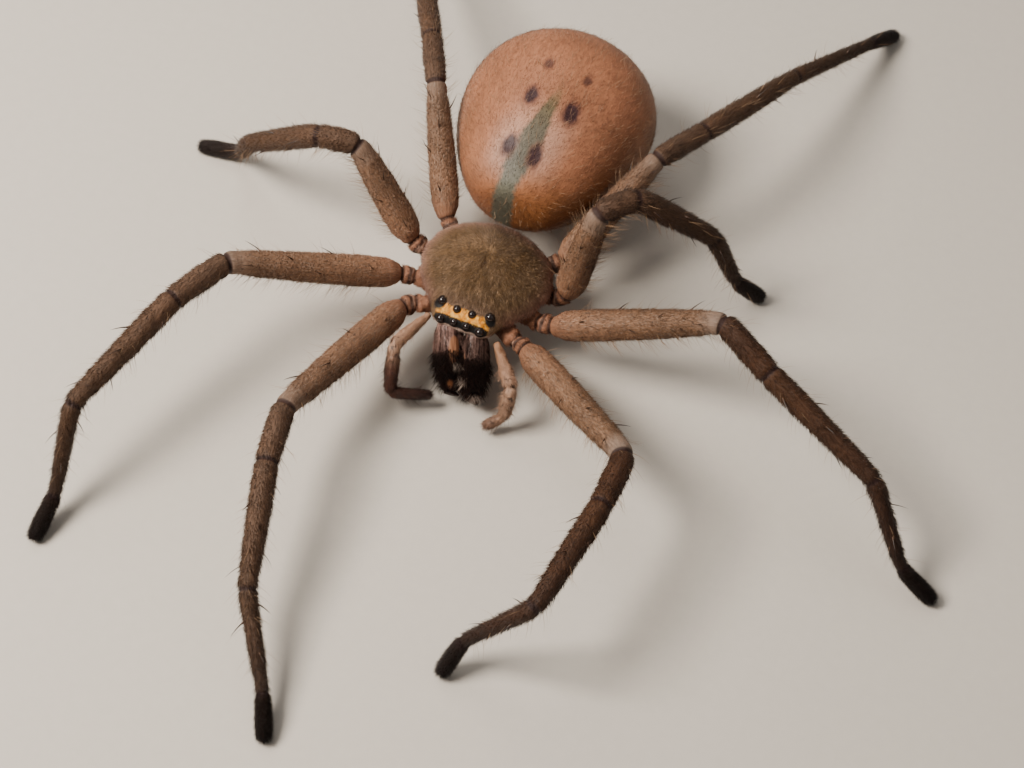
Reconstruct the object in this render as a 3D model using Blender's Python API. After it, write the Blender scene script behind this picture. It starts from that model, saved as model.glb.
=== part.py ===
"""Huntsman spider, life size, standing still on its eight feet.

The head points towards -Y, the spider's own left is +X and up is +Z.
It is modelled in millimetres, and the last step turns every mesh into metres.
"""

import math
import random

import bmesh
import bpy
from mathutils import Matrix, Vector

MM = 0.001
GAP = 0.3
WELD = 0.001
CLEAN_STEPS = (0.006, 0.003, 0.001, 0.0002)

# Carapace and what hangs from it. Body points are measured from the middle of
# the carapace's rim, which is BODY_HEIGHT above the floor and tilted a little.
BODY_HEIGHT = 6.5
BODY_PITCH = math.radians(4)
CARAPACE_WIDTH = 13.0
RIM_DEPTH = 0.35
RING_SIDES = 28
# Place along the body, share of the half width, height of the back, boxiness.
CARAPACE_SECTIONS = (
    (-6.2, 0.38, 0.25, 2.6),
    (-5.9, 0.46, 0.78, 2.8),
    (-5.3, 0.51, 1.20, 2.8),
    (-4.5, 0.57, 1.52, 2.6),
    (-3.3, 0.71, 1.90, 2.4),
    (-1.8, 0.89, 2.20, 2.2),
    (0.0, 0.99, 2.38, 2.1),
    (1.6, 1.00, 2.35, 2.0),
    (3.2, 0.91, 2.05, 2.0),
    (4.6, 0.72, 1.50, 2.0),
    (5.6, 0.46, 0.90, 2.0),
    (6.1, 0.22, 0.42, 2.0),
)
CARAPACE_FRONT = (-6.35, 0.0)
CARAPACE_BACK = (6.3, 0.05)
TRUNK_HALF = (2.4, 4.5, 1.5)
TRUNK_MIDDLE = (0.0, 0.0, -0.5)
STERNUM_HALF = (2.5, 3.6, 0.4)
STERNUM_MIDDLE = (0.0, 0.2, -2.85)
PEDICEL = ((0.0, 4.0, -1.0), (0.0, 8.5, -0.6), 0.8)

# Eyes, as places on the carapace and radii, for the animal's left side.
EYES = {
    "front_middle": ((0.64, -5.9, 0.6), 0.36),
    "front_side": ((2.02, -5.94, 0.46), 0.42),
    "rear_middle": ((0.78, -4.85, 1.28), 0.36),
    "rear_side": ((2.45, -4.42, 1.16), 0.45),
}
EYE_GAP = 0.25

# Jaws and palps. The jaws lean a little to the animal's left.
JAW_ROOT = (1.4, -5.4, -0.9)
JAW_TIP = (1.1, -10.5, 2.2)
JAW_LEAN = 2.2
JAW_RADII = ((0.0, 1.1), (0.12, 1.35), (0.38, 1.52), (0.6, 1.38), (0.8, 1.1), (0.93, 0.82), (1.0, 0.55))
FANG_RADII = (0.34, 0.34, 0.3, 0.24, 0.14)
FANG_REACH = 1.35
FANG_SAG = 0.55
FANG_CLEAR = 0.45
MAXILLA = ((1.1, -3.9, -2.6), (0.95, -5.1, -2.9), 0.55)
PALP_JOINTS = {
    "left": ((3.75, -5.6, 5.2), (6.9, -9.8, 5.4), (6.9, -11.1, 2.0), (5.3, -12.4, 1.1)),
    "right": ((-3.5, -5.3, 5.3), (-5.0, -10.2, 6.0), (-4.0, -13.5, 2.8), (-0.3, -11.5, 1.8)),
}
PALP_RADII = (0.42, 0.66, 0.7, 0.66, 0.58, 0.54, 0.42)

# Abdomen: an egg, widest behind its middle, with its front end raised.
ABDOMEN_HALF = (9.6, 12.2, 7.4)
ABDOMEN_MIDDLE = (-0.2, 17.8, 8.6)
ABDOMEN_EGG = 0.2
ABDOMEN_PITCH = math.radians(-2.4)
SPINNERET_SPREAD = 0.95
SPINNERET_LENGTH = 1.6

# Legs. Each pair shares its lengths; each leg has its own headings and rises.
SEGMENTS = ("femur", "patella", "tibia", "metatarsus", "tarsus")
LEG_LENGTHS = {
    1: (18.5, 6.0, 12.0, 9.4, 4.2),
    2: (18.4, 6.4, 13.7, 9.0, 4.6),
    3: (11.8, 3.8, 10.6, 7.8, 4.6),
    4: (14.2, 6.0, 15.4, 15.6, 5.2),
}
LEG_ROOTS = {1: (1.8, -2.9, -1.4), 2: (1.8, -1.0, -1.4), 3: (1.8, 1.0, -1.3), 4: (1.8, 2.9, -1.3)}
LEG_HIPS = {1: (6.2, -4.8, 5.0), 2: (7.5, -1.7, 5.2), 3: (7.9, 1.8, 5.5), 4: (5.9, 5.0, 6.0)}
LEG_HEADINGS = {
    ("left", 1): (-38, -91, -98, -161, -114),
    ("right", 1): (-105, -80, -74, -56, -64),
    ("left", 2): (6, -26, -21, -39, -12),
    ("right", 2): (-146, -114, -107, -83, -94),
    ("left", 3): (64, 45, 26, 19, 34),
    ("right", 3): (160, 195, 172, 130, 185),
    ("left", 4): (64, 60, 68, 68, 66),
    ("right", 4): (119, 117, 117, 117, 117),
}
LEG_RISES = {
    ("left", 1): (18, 4, -1, -51),
    ("right", 1): (11, -1, -14, -21),
    ("left", 2): (27, -13, -14, -43),
    ("right", 2): (19, 0, -9, -48),
    ("left", 3): (75, 8, -38, -66),
    ("right", 3): (47, 8, -40, -58),
    ("left", 4): (28, -2, -14, -23),
    ("right", 4): (28, 0, -16, -23),
}
FOOT_HEIGHT = 0.4
FOOT_TIP = 0.35
JOINT_REACH = 1.35
PALP_REACH = 0.6
CORNER_STEPS = (0.0, 0.25, 0.5, 0.75, 1.0)
COXA_RADII = ((0.0, 0.8), (0.45, 0.9), (0.75, 1.12), (0.95, 1.14))
COXA_NECK = 1.05
LEG_RADII = {
    "femur": ((0.03, 1.4), (0.25, 1.55), (0.6, 1.45), (0.95, 1.2)),
    "patella": ((0.2, 1.22), (0.8, 1.18)),
    "tibia": ((0.08, 1.17), (0.5, 1.08), (0.95, 0.94)),
    "metatarsus": ((0.08, 0.83), (0.5, 0.76), (0.95, 0.68)),
    "tarsus": ((0.1, 0.7), (0.55, 0.68), (0.95, 0.6)),
}
JOINT_RADII = (1.12, 1.1, 0.86, 0.66)
PAIR_GIRTH = {1: 1.0, 2: 1.02, 3: 1.0, 4: 0.93}

# Spines: the leg's length that carries one, its segment, the share along it,
# and the degrees round from the top.
SPINES = {
    "femur": ((1, 0.22, 25), (1, 0.42, -35), (1, 0.5, 60), (1, 0.66, 10), (1, 0.8, -70), (1, 0.88, 45)),
    "tibia": ((3, 0.18, 70), (3, 0.35, -60), (3, 0.52, 15), (3, 0.7, 110), (3, 0.82, -105)),
    "foot": ((4, 0.15, 75), (4, 0.3, -75), (4, 0.62, 20)),
}
SPINE_LENGTH = 2.0
SPINE_ROOT = 0.55
SPINE_RADII = (0.28, 0.06)
SPINE_SIDES = 5
SPINE_LEAN = math.radians(42)
SPINE_SWAY = math.radians(5)

# Colours and roughness of the sub-parts.
FINISHES = {
    "carapace": ((0.20, 0.13, 0.08), 0.7),
    "sternum": ((0.30, 0.19, 0.11), 0.6),
    "abdomen": ((0.45, 0.22, 0.11), 0.65),
    "jaw": ((0.07, 0.03, 0.02), 0.4),
    "fang": ((0.03, 0.01, 0.008), 0.2),
    "eye": ((0.01, 0.008, 0.006), 0.08),
    "palp": ((0.28, 0.17, 0.11), 0.6),
    "coxa": ((0.40, 0.26, 0.19), 0.6),
    "femur": ((0.33, 0.22, 0.15), 0.65),
    "tibia": ((0.20, 0.11, 0.07), 0.65),
    "foot": ((0.10, 0.055, 0.035), 0.7),
}


def clear_scene():
    """Remove whatever the file holds, so that each run starts the same."""
    for thing in list(bpy.data.objects):
        bpy.data.objects.remove(thing, do_unlink=True)


def make_collection(name):
    """A collection linked to the scene."""
    group = bpy.data.collections.new(name)
    bpy.context.scene.collection.children.link(group)
    return group


def on_body(x, y, z):
    """A place measured from the carapace's rim, as a vector over the floor."""
    turned = Matrix.Rotation(BODY_PITCH, 3, "X") @ Vector((x, y, z))
    return turned + Vector((0.0, 0.0, BODY_HEIGHT))


def side_sign(side):
    """Plus for the animal's left, minus for its right."""
    return 1 if side == "left" else -1


def finish(thing, kind, node_name):
    """Give a sub-part a material of its own."""
    colour, roughness = FINISHES[kind]
    material = bpy.data.materials.new(node_name)
    material.use_nodes = True
    shader = material.node_tree.nodes["Principled BSDF"]
    shader.inputs["Base Color"].default_value = (*colour, 1.0)
    shader.inputs["Roughness"].default_value = roughness
    shader.inputs["Metallic"].default_value = 0.0
    thing.data.materials.clear()
    thing.data.materials.append(material)
    thing.data.shade_smooth()
    thing.data.set_sharp_from_angle(angle=math.radians(50))


def object_from_bmesh(shape, name, group):
    """Turn a bmesh into an object in a collection, and free the bmesh."""
    shape.normal_update()
    bmesh.ops.recalc_face_normals(shape, faces=shape.faces)
    mesh = bpy.data.meshes.new(name)
    shape.to_mesh(mesh)
    shape.free()
    thing = bpy.data.objects.new(name, mesh)
    group.objects.link(thing)
    return thing


def tube(name, stations, group, round_steps=3):
    """A round bar through stations of (place, radius)."""
    curve = bpy.data.curves.new(name, "CURVE")
    curve.dimensions = "3D"
    curve.twist_mode = "Z_UP"
    curve.bevel_depth = 1.0
    curve.bevel_resolution = round_steps
    curve.use_fill_caps = True
    spline = curve.splines.new("POLY")
    spline.points.add(len(stations) - 1)
    for knot, (place, radius) in zip(spline.points, stations):
        knot.co = (*place, 1.0)
        knot.radius = radius
    bar = bpy.data.objects.new(name + "_curve", curve)
    group.objects.link(bar)
    bpy.context.view_layer.update()
    bar_eval = bar.evaluated_get(bpy.context.evaluated_depsgraph_get())
    mesh = bpy.data.meshes.new_from_object(bar_eval)
    bpy.data.objects.remove(bar, do_unlink=True)
    shape = bmesh.new()
    shape.from_mesh(mesh)
    bmesh.ops.remove_doubles(shape, verts=shape.verts, dist=WELD)
    return object_from_bmesh(shape, name, group)


def cut_flat(thing, place, normal):
    """Cut away all that lies past a plane, and close the cut."""
    shape = bmesh.new()
    shape.from_mesh(thing.data)
    everything = shape.verts[:] + shape.edges[:] + shape.faces[:]
    cut = bmesh.ops.bisect_plane(
        shape, geom=everything, plane_co=place, plane_no=normal, clear_outer=True, dist=WELD
    )
    rim = [item for item in cut["geom_cut"] if isinstance(item, bmesh.types.BMEdge)]
    bmesh.ops.edgeloop_fill(shape, edges=rim)
    shape.normal_update()
    bmesh.ops.recalc_face_normals(shape, faces=shape.faces)
    shape.to_mesh(thing.data)
    shape.free()


def keep_largest(thing):
    """Keep only the largest closed surface of a mesh."""
    shape = bmesh.new()
    shape.from_mesh(thing.data)
    unseen = set(shape.faces)
    islands = []
    while unseen:
        start = unseen.pop()
        island = [start]
        for face in island:
            for edge in face.edges:
                for other in edge.link_faces:
                    if other in unseen:
                        unseen.discard(other)
                        island.append(other)
        islands.append(island)
    islands.sort(key=lambda island: sum(face.calc_area() for face in island))
    spare = [face for island in islands[:-1] for face in island]
    bmesh.ops.delete(shape, geom=spare, context="FACES")
    shape.to_mesh(thing.data)
    shape.free()


def clean(thing):
    """Merge points that a join left almost on top of each other, if the mesh stays closed."""
    for distance in CLEAN_STEPS:
        shape = bmesh.new()
        shape.from_mesh(thing.data)
        bmesh.ops.triangulate(shape, faces=shape.faces)
        bmesh.ops.remove_doubles(shape, verts=shape.verts, dist=distance)
        bmesh.ops.dissolve_degenerate(shape, edges=shape.edges, dist=distance)
        closed = all(len(edge.link_faces) == 2 for edge in shape.edges)
        if closed:
            shape.to_mesh(thing.data)
        shape.free()
        if closed:
            return


def combine(thing, others, operation, solver="EXACT"):
    """Join or subtract closed meshes in one step, then remove them."""
    helpers = bpy.data.collections.new("helpers")
    for other in others:
        helpers.objects.link(other)
    step = thing.modifiers.new("combine", "BOOLEAN")
    step.operation = operation
    step.solver = solver
    step.operand_type = "COLLECTION"
    step.collection = helpers
    bpy.context.view_layer.update()
    result = thing.evaluated_get(bpy.context.evaluated_depsgraph_get())
    mesh = bpy.data.meshes.new_from_object(result)
    thing.modifiers.clear()
    thing.data = mesh
    for other in others:
        bpy.data.objects.remove(other, do_unlink=True)
    bpy.data.collections.remove(helpers)
    clean(thing)
    keep_largest(thing)


def grown(thing, distance, group):
    """A copy of a mesh, larger by a distance on every side."""
    shape = bmesh.new()
    shape.from_mesh(thing.data)
    shape.normal_update()
    for vertex in shape.verts:
        vertex.co += vertex.normal * distance
    copy = object_from_bmesh(shape, thing.name + "_grown", group)
    copy.hide_render = True
    copy.display_type = "WIRE"
    return copy


def ball(name, place, radius, group, steps=2):
    """A round ball of triangles."""
    shape = bmesh.new()
    bmesh.ops.create_icosphere(shape, subdivisions=steps, radius=radius)
    bmesh.ops.translate(shape, verts=shape.verts, vec=place)
    return object_from_bmesh(shape, name, group)


def egg(name, middle, half, group, bias=0.0, pitch=0.0, rounds=28, rings=18):
    """An ellipsoid along Y, fuller towards its far end when it has a bias."""
    shape = bmesh.new()
    bmesh.ops.create_uvsphere(shape, u_segments=rounds, v_segments=rings, radius=1.0)
    turn = Matrix.Rotation(pitch, 3, "X")
    for vertex in shape.verts:
        along = -vertex.co.z
        girth = 1 + bias * along
        local = Vector((vertex.co.x * half[0] * girth, along * half[1], vertex.co.y * half[2] * girth))
        vertex.co = turn @ local + Vector(middle)
    return object_from_bmesh(shape, name, group)


def carapace_ring(half_width, top, boxiness):
    """One cross-section of the carapace: a rounded back over a flat underside."""
    ring = []
    for step in range(RING_SIDES):
        angle = 2 * math.pi * step / RING_SIDES
        across = math.copysign(abs(math.cos(angle)) ** (2 / boxiness), math.cos(angle))
        rise = abs(math.sin(angle)) ** (2 / boxiness)
        if math.sin(angle) < 0:
            across = math.copysign(abs(math.cos(angle)) ** 0.6, math.cos(angle))
            height = -RIM_DEPTH * abs(math.sin(angle)) ** 0.7
        else:
            height = top * rise
        ring.append((half_width * across, height))
    return ring


def make_carapace(parts, cutters):
    """The shield over the front body, with the trunk under it and the eyes' sockets."""
    shape = bmesh.new()
    rings = []
    for y, share, top, boxiness in CARAPACE_SECTIONS:
        outline = carapace_ring(share * CARAPACE_WIDTH / 2, top, boxiness)
        rings.append([shape.verts.new(on_body(x, y, z)) for x, z in outline])
    for near, far in zip(rings, rings[1:]):
        for step in range(RING_SIDES):
            after = (step + 1) % RING_SIDES
            shape.faces.new((near[step], near[after], far[after], far[step]))
    for ring, (y, z) in ((rings[0], CARAPACE_FRONT), (rings[-1], CARAPACE_BACK)):
        pole = shape.verts.new(on_body(0.0, y, z))
        for step in range(RING_SIDES):
            shape.faces.new((ring[step], ring[(step + 1) % RING_SIDES], pole))
    shield = object_from_bmesh(shape, "carapace", parts)
    middle = on_body(*TRUNK_MIDDLE)
    trunk = egg("trunk", middle, TRUNK_HALF, cutters, pitch=BODY_PITCH, rounds=20, rings=12)
    around = [grown(shield, GAP, cutters), grown(trunk, GAP, cutters)]
    combine(shield, [trunk], "UNION")
    return shield, around


def eye_balls(side, extra, group):
    """A ball round each eye of one side, larger than the eye by a little."""
    balls = []
    for place_name, (place, radius) in EYES.items():
        middle = on_body(place[0] * side_sign(side), place[1], place[2])
        balls.append(ball(f"eye_{place_name}_{side}", middle, radius + extra, group))
    return balls


def make_eyes(shield, parts, cutters):
    """Eight eyes in two rows, each a ball in its own socket in the carapace."""
    sockets = []
    for side in ("left", "right"):
        for eye in eye_balls(side, 0.0, parts):
            finish(eye, "eye", eye.name)
        sockets.extend(eye_balls(side, EYE_GAP, cutters))
    combine(shield, sockets, "DIFFERENCE")


def make_sternum(parts):
    """The flat shield plate between the legs, under the trunk."""
    middle = on_body(*STERNUM_MIDDLE)
    plate = egg("sternum", middle, STERNUM_HALF, parts, pitch=BODY_PITCH, rounds=20, rings=10)
    finish(plate, "sternum", "sternum")
    return plate


def fit_round(thing, around, cutters):
    """Cut a piece clear of the grown shapes of its neighbours."""
    for neighbour in around:
        cutter = neighbour.copy()
        cutter.data = neighbour.data.copy()
        cutters.objects.link(cutter)
        combine(thing, [cutter], "DIFFERENCE", "MANIFOLD")


def make_abdomen(around, parts, cutters):
    """The large soft abdomen, hollowed a little where the carapace meets it."""
    belly = egg("abdomen", ABDOMEN_MIDDLE, ABDOMEN_HALF, parts, ABDOMEN_EGG, ABDOMEN_PITCH, 30, 20)
    belly_round = grown(belly, GAP, cutters)
    fit_round(belly, around, cutters)
    finish(belly, "abdomen", "abdomen")
    return belly_round


def make_pedicel(around, parts, cutters):
    """The narrow waist, fitted between the carapace's trunk and the abdomen."""
    start, end, radius = PEDICEL
    waist = tube("pedicel", ((on_body(*start), radius), (on_body(*end), radius)), parts)
    fit_round(waist, around, cutters)
    finish(waist, "sternum", "pedicel")


def make_spinnerets(belly_round, parts, cutters):
    """A cluster of small cones under the abdomen's rear end."""
    root = Vector((ABDOMEN_MIDDLE[0], ABDOMEN_MIDDLE[1] + ABDOMEN_HALF[1] - 1.2, ABDOMEN_MIDDLE[2] - 2.2))
    cones = []
    for across, down in ((-1, 0), (1, 0), (-0.9, -1), (0.9, -1), (0, -0.5)):
        lean = Vector((across * 0.35, 1.0, -0.45 + down * 0.15)).normalized()
        start = root + Vector((across * SPINNERET_SPREAD * 0.6, 0.0, down * SPINNERET_SPREAD))
        end = start + lean * (SPINNERET_LENGTH + 1.6)
        middle = start.lerp(end, 0.7)
        cones.append(tube("spinneret", ((start, 0.62), (middle, 0.5), (end, 0.22)), parts))
    cluster = cones[0]
    cluster.name = "spinnerets"
    combine(cluster, cones[1:], "UNION")
    fit_round(cluster, [belly_round], cutters)
    finish(cluster, "abdomen", "spinnerets")


def make_jaw(side, around, parts, cutters):
    """One chelicera, flat where it faces the other, and its folded fang."""
    sign = side_sign(side)
    root = on_body(JAW_ROOT[0] * sign, JAW_ROOT[1], JAW_ROOT[2])
    tip = Vector((JAW_TIP[0] * sign + JAW_LEAN, JAW_TIP[1], JAW_TIP[2]))
    stations = [(root.lerp(tip, share), radius) for share, radius in JAW_RADII]
    jaw = tube(f"chelicera_{side}", stations, parts, 4)
    between = on_body(0.0, JAW_ROOT[1], JAW_ROOT[2])
    inward = Vector((JAW_TIP[1] - between.y, -JAW_LEAN, 0.0)).normalized() * sign
    cut_flat(jaw, between - inward * GAP / 2, inward)
    fit_round(jaw, around, cutters)
    combine(jaw, eye_balls(side, GAP, cutters), "DIFFERENCE", "MANIFOLD")
    finish(jaw, "jaw", jaw.name)
    along = (tip - root).normalized()
    across = Vector((-sign, 0.0, 0.0))
    under = along.cross(Vector((1.0, 0.0, 0.0))).normalized()
    if under.z > 0:
        under = -under
    start = tip + along * (FANG_CLEAR + FANG_RADII[0]) - across * 0.55
    bends = []
    for step, radius in enumerate(FANG_RADII):
        share = step / (len(FANG_RADII) - 1)
        sweep = across * FANG_REACH * share + under * FANG_SAG * math.sin(share * math.pi / 2)
        bends.append((start + sweep, radius))
    fang = tube(f"fang_{side}", bends, parts, 2)
    finish(fang, "fang", fang.name)
    return jaw


def make_maxilla(side, parts):
    """The lobe beside the mouth, at the foot of the palp."""
    sign = side_sign(side)
    back, front, radius = MAXILLA
    start = on_body(back[0] * sign, back[1], back[2])
    end = on_body(front[0] * sign, front[1], front[2])
    middle = start.lerp(end, 0.5)
    stations = ((start, radius * 0.6), (middle, radius), (end, radius * 0.6))
    lobe = tube(f"maxilla_{side}", stations, parts)
    finish(lobe, "palp", lobe.name)


def corner(before, joint, after, reach):
    """Places round a joint's bend, from one segment to the next."""
    entry = joint + (before - joint).normalized() * reach
    leave = joint + (after - joint).normalized() * reach
    return [entry * (1 - t) ** 2 + joint * 2 * t * (1 - t) + leave * t ** 2 for t in CORNER_STEPS]


def joint_cut(places):
    """The middle of a bend and the direction through it."""
    middle = places[len(places) // 2]
    return middle, (places[-1] - places[0]).normalized()


def limb_node(name, joints, first, last, stations, joint_radii, group, reach=JOINT_REACH, steps=3):
    """One length of a limb, from joint number first to joint number last.

    stations holds a list of (share, radius) for each segment between them,
    where a share runs along the straight stretch from one bend to the next.
    The ends are cut flat across the joints, half a gap short of the middle.
    """
    run = []
    cuts = []
    for number in range(first, last + 1):
        inner = 0 < number < len(joints) - 1
        if inner:
            bend = corner(joints[number - 1], joints[number], joints[number + 1], reach)
            run.extend((place, joint_radii[number]) for place in bend)
            middle, through = joint_cut(bend)
            if number == first:
                cuts.append((middle + through * GAP / 2, -through))
            elif number == last:
                cuts.append((middle - through * GAP / 2, through))
        if number < last:
            stride = (joints[number + 1] - joints[number]).normalized() * reach
            leave = joints[number] + stride * (number > 0)
            arrive = joints[number + 1] - stride * (number + 1 < len(joints) - 1)
            run.extend((leave.lerp(arrive, share), radius) for share, radius in stations[number - first])
    piece = tube(name, run, group, steps)
    for place, normal in cuts:
        cut_flat(piece, place, normal)
    return piece


def leg_joints(side, number):
    """The leg's joints, from its root under the carapace to the foot's tip."""
    sign = side_sign(side)
    root = LEG_ROOTS[number]
    hip = LEG_HIPS[number]
    joints = [on_body(root[0] * sign, root[1], root[2]), Vector((hip[0] * sign, hip[1], hip[2]))]
    lengths = LEG_LENGTHS[number]
    for step, heading in enumerate(LEG_HEADINGS[(side, number)]):
        if step < len(SEGMENTS) - 1:
            rise = math.radians(LEG_RISES[(side, number)][step])
        else:
            rise = math.asin((FOOT_HEIGHT - joints[-1].z) / lengths[step])
        flat = math.cos(rise)
        turn = math.radians(heading)
        stride = Vector((math.cos(turn) * flat, math.sin(turn) * flat, math.sin(rise)))
        joints.append(joints[-1] + stride * lengths[step])
    return joints


def spine_start(joints, radius, segment, share, turn):
    """A spine's root on the skin, and the directions out of the skin and along the leg."""
    along = (joints[segment + 1] - joints[segment]).normalized()
    across = along.cross(Vector((0.0, 0.0, 1.0))).normalized()
    up = across.cross(along)
    out = up * math.cos(turn) + across * math.sin(turn)
    return joints[segment].lerp(joints[segment + 1], share) + out * radius, out, along


def make_spines(piece, kind, side, joints, girth, draw, cutters):
    """Raise the short spines of one length of a leg, leaning towards its foot."""
    spikes = []
    for segment, share, degrees in SPINES[kind]:
        profile = LEG_RADII[SEGMENTS[segment - 1]]
        radius = girth * min(profile, key=lambda station: abs(station[0] - share))[1]
        turn = math.radians(degrees) * side_sign(side) + draw.uniform(-SPINE_SWAY, SPINE_SWAY)
        lean = SPINE_LEAN + draw.uniform(-SPINE_SWAY, SPINE_SWAY)
        length = SPINE_LENGTH * draw.uniform(0.85, 1.1) + SPINE_ROOT
        start, out, along = spine_start(joints, radius, segment, share, turn)
        ahead = out * math.sin(lean) + along * math.cos(lean)
        middle = start + ahead * (length / 2 - SPINE_ROOT)
        place = Matrix.Translation(middle) @ ahead.to_track_quat("Z", "Y").to_matrix().to_4x4()
        shape = bmesh.new()
        bmesh.ops.create_cone(
            shape, cap_ends=True, segments=SPINE_SIDES, matrix=place,
            radius1=SPINE_RADII[0], radius2=SPINE_RADII[1], depth=length,
        )
        spikes.append(object_from_bmesh(shape, "spine", cutters))
    combine(piece, spikes, "UNION")


def make_leg(side, number, around, parts, cutters):
    """One leg in four lengths: coxa, femur, tibia with patella, and foot."""
    joints = leg_joints(side, number)
    girth = PAIR_GIRTH[number]
    segment_radii = [COXA_RADII]
    segment_radii += [[(share, radius * girth) for share, radius in LEG_RADII[name]] for name in SEGMENTS]
    joint_radii = [0.0, COXA_NECK] + [radius * girth for radius in JOINT_RADII] + [FOOT_TIP]
    lengths = {"coxa": (0, 1), "femur": (1, 2), "tibia": (2, 4), "foot": (4, 6)}
    draw = random.Random(number * side_sign(side))
    for kind, (first, last) in lengths.items():
        name = f"leg_{side}_{number}_{kind}"
        stations = segment_radii[first:last]
        if kind == "foot":
            straight = (joints[-1] - joints[-2]).length - JOINT_REACH
            stations = [stations[0], list(stations[1]) + [(1 + FOOT_TIP / straight, FOOT_TIP)]]
        piece = limb_node(name, joints, first, last, stations, joint_radii, parts)
        if kind == "coxa":
            fit_round(piece, around, cutters)
        if kind == "foot":
            cut_flat(piece, Vector((0.0, 0.0, 0.0)), Vector((0.0, 0.0, -1.0)))
        if kind in SPINES:
            make_spines(piece, kind, side, joints, girth, draw, cutters)
        finish(piece, kind, name)


def make_palp(side, parts):
    """One palp in three lengths, bent at its knee and at its foot."""
    joints = [Vector(place) for place in PALP_JOINTS[side]]
    r = PALP_RADII
    stations = [
        ((0.0, r[0]), (0.2, r[0]), (0.6, r[1])),
        ((0.3, r[2]), (0.7, r[3])),
        ((0.3, r[5]), (0.75, r[5]), (1.0, r[6])),
    ]
    joint_radii = [r[0], r[2], r[4], r[6]]
    for step, kind in enumerate(("femur", "tibia", "tarsus")):
        name = f"palp_{side}_{kind}"
        piece = limb_node(name, joints, step, step + 1, [stations[step]], joint_radii, parts, PALP_REACH)
        finish(piece, "palp", name)


def stand_over_origin(parts):
    """Centre the whole animal's box over the origin, with its feet on the floor."""
    bpy.context.view_layer.update()
    for thing in parts.objects:
        thing.data.transform(Matrix.Scale(MM, 4))
    corners = [vertex.co for thing in parts.objects for vertex in thing.data.vertices]
    middle_x = (min(c.x for c in corners) + max(c.x for c in corners)) / 2
    middle_y = (min(c.y for c in corners) + max(c.y for c in corners)) / 2
    stand = bpy.data.objects.new("stand_point", None)
    parts.objects.link(stand)
    stand.location = (-middle_x, -middle_y, 0.0)
    for thing in list(parts.objects):
        if thing is not stand:
            thing.parent = stand


def build():
    """Make every sub-part of the spider."""
    clear_scene()
    parts = make_collection("huntsman_spider")
    cutters = make_collection("cutters")
    shield, around_body = make_carapace(parts, cutters)
    plate = make_sternum(parts)
    around_legs = around_body + [grown(plate, GAP, cutters)]
    belly_round = make_abdomen(around_body, parts, cutters)
    make_pedicel(around_body + [belly_round], parts, cutters)
    make_spinnerets(belly_round, parts, cutters)
    for side in ("left", "right"):
        make_jaw(side, around_body, parts, cutters)
        make_maxilla(side, parts)
        make_palp(side, parts)
        for number in LEG_LENGTHS:
            make_leg(side, number, around_legs, parts, cutters)
    make_eyes(shield, parts, cutters)
    finish(shield, "carapace", "carapace")
    stand_over_origin(parts)


build()
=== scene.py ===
"""Huntsman spider, life size and still: its skin, coat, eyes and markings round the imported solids.

The file is laid out as an add-on and is run as a script. Sizes are in
millimetres until a mesh is made, where MM turns them into metres.
"""

import math
from functools import partial

import bmesh
import bpy
import numpy as np
from bpy.props import FloatProperty, FloatVectorProperty, IntProperty, PointerProperty
from mathutils import Matrix, Vector


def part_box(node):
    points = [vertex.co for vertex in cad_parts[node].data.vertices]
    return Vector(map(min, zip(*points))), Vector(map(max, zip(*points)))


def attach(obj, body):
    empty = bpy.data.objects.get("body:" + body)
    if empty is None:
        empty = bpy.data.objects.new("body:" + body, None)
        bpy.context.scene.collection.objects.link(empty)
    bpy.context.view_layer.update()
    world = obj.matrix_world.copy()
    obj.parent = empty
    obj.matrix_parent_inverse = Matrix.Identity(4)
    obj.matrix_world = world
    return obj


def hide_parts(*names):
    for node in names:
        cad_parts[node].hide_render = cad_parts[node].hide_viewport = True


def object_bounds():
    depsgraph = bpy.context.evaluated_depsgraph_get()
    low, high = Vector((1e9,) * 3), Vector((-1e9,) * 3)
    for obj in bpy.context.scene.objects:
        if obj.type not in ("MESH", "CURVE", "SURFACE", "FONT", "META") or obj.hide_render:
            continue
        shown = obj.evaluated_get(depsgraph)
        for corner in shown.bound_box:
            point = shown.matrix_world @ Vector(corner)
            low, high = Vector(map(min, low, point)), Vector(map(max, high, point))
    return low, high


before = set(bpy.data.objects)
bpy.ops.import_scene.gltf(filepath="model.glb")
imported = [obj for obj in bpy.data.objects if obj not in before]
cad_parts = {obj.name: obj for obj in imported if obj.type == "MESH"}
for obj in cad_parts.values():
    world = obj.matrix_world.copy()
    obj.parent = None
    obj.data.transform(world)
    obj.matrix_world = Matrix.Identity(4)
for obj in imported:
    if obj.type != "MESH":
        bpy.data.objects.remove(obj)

bl_info = {
    "name": "Huntsman spider looks",
    "version": (1, 0, 0),
    "blender": (4, 5, 0),
    "location": "View3D > Sidebar > Spider",
    "description": "Builds the skin, coat, eyes and stage of a life-size huntsman spider",
    "category": "Object",
}

MM = 0.001
SIDES = {"left": 1, "right": -1}

# The body's own frame: millimetres from the middle of the carapace's rim.
BODY_HEIGHT = 6.5
BODY_PITCH = math.radians(4)
BODY_TURN = Matrix.Rotation(BODY_PITCH, 3, "X")
STERNUM_MIDDLE = (0.0, 0.2, -2.85)

EYES = {
    "front_middle": ((0.64, -5.9, 0.6), 0.36),
    "front_side": ((2.02, -5.94, 0.46), 0.42),
    "rear_middle": ((0.78, -4.85, 1.28), 0.36),
    "rear_side": ((2.45, -4.42, 1.16), 0.45),
}

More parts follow.
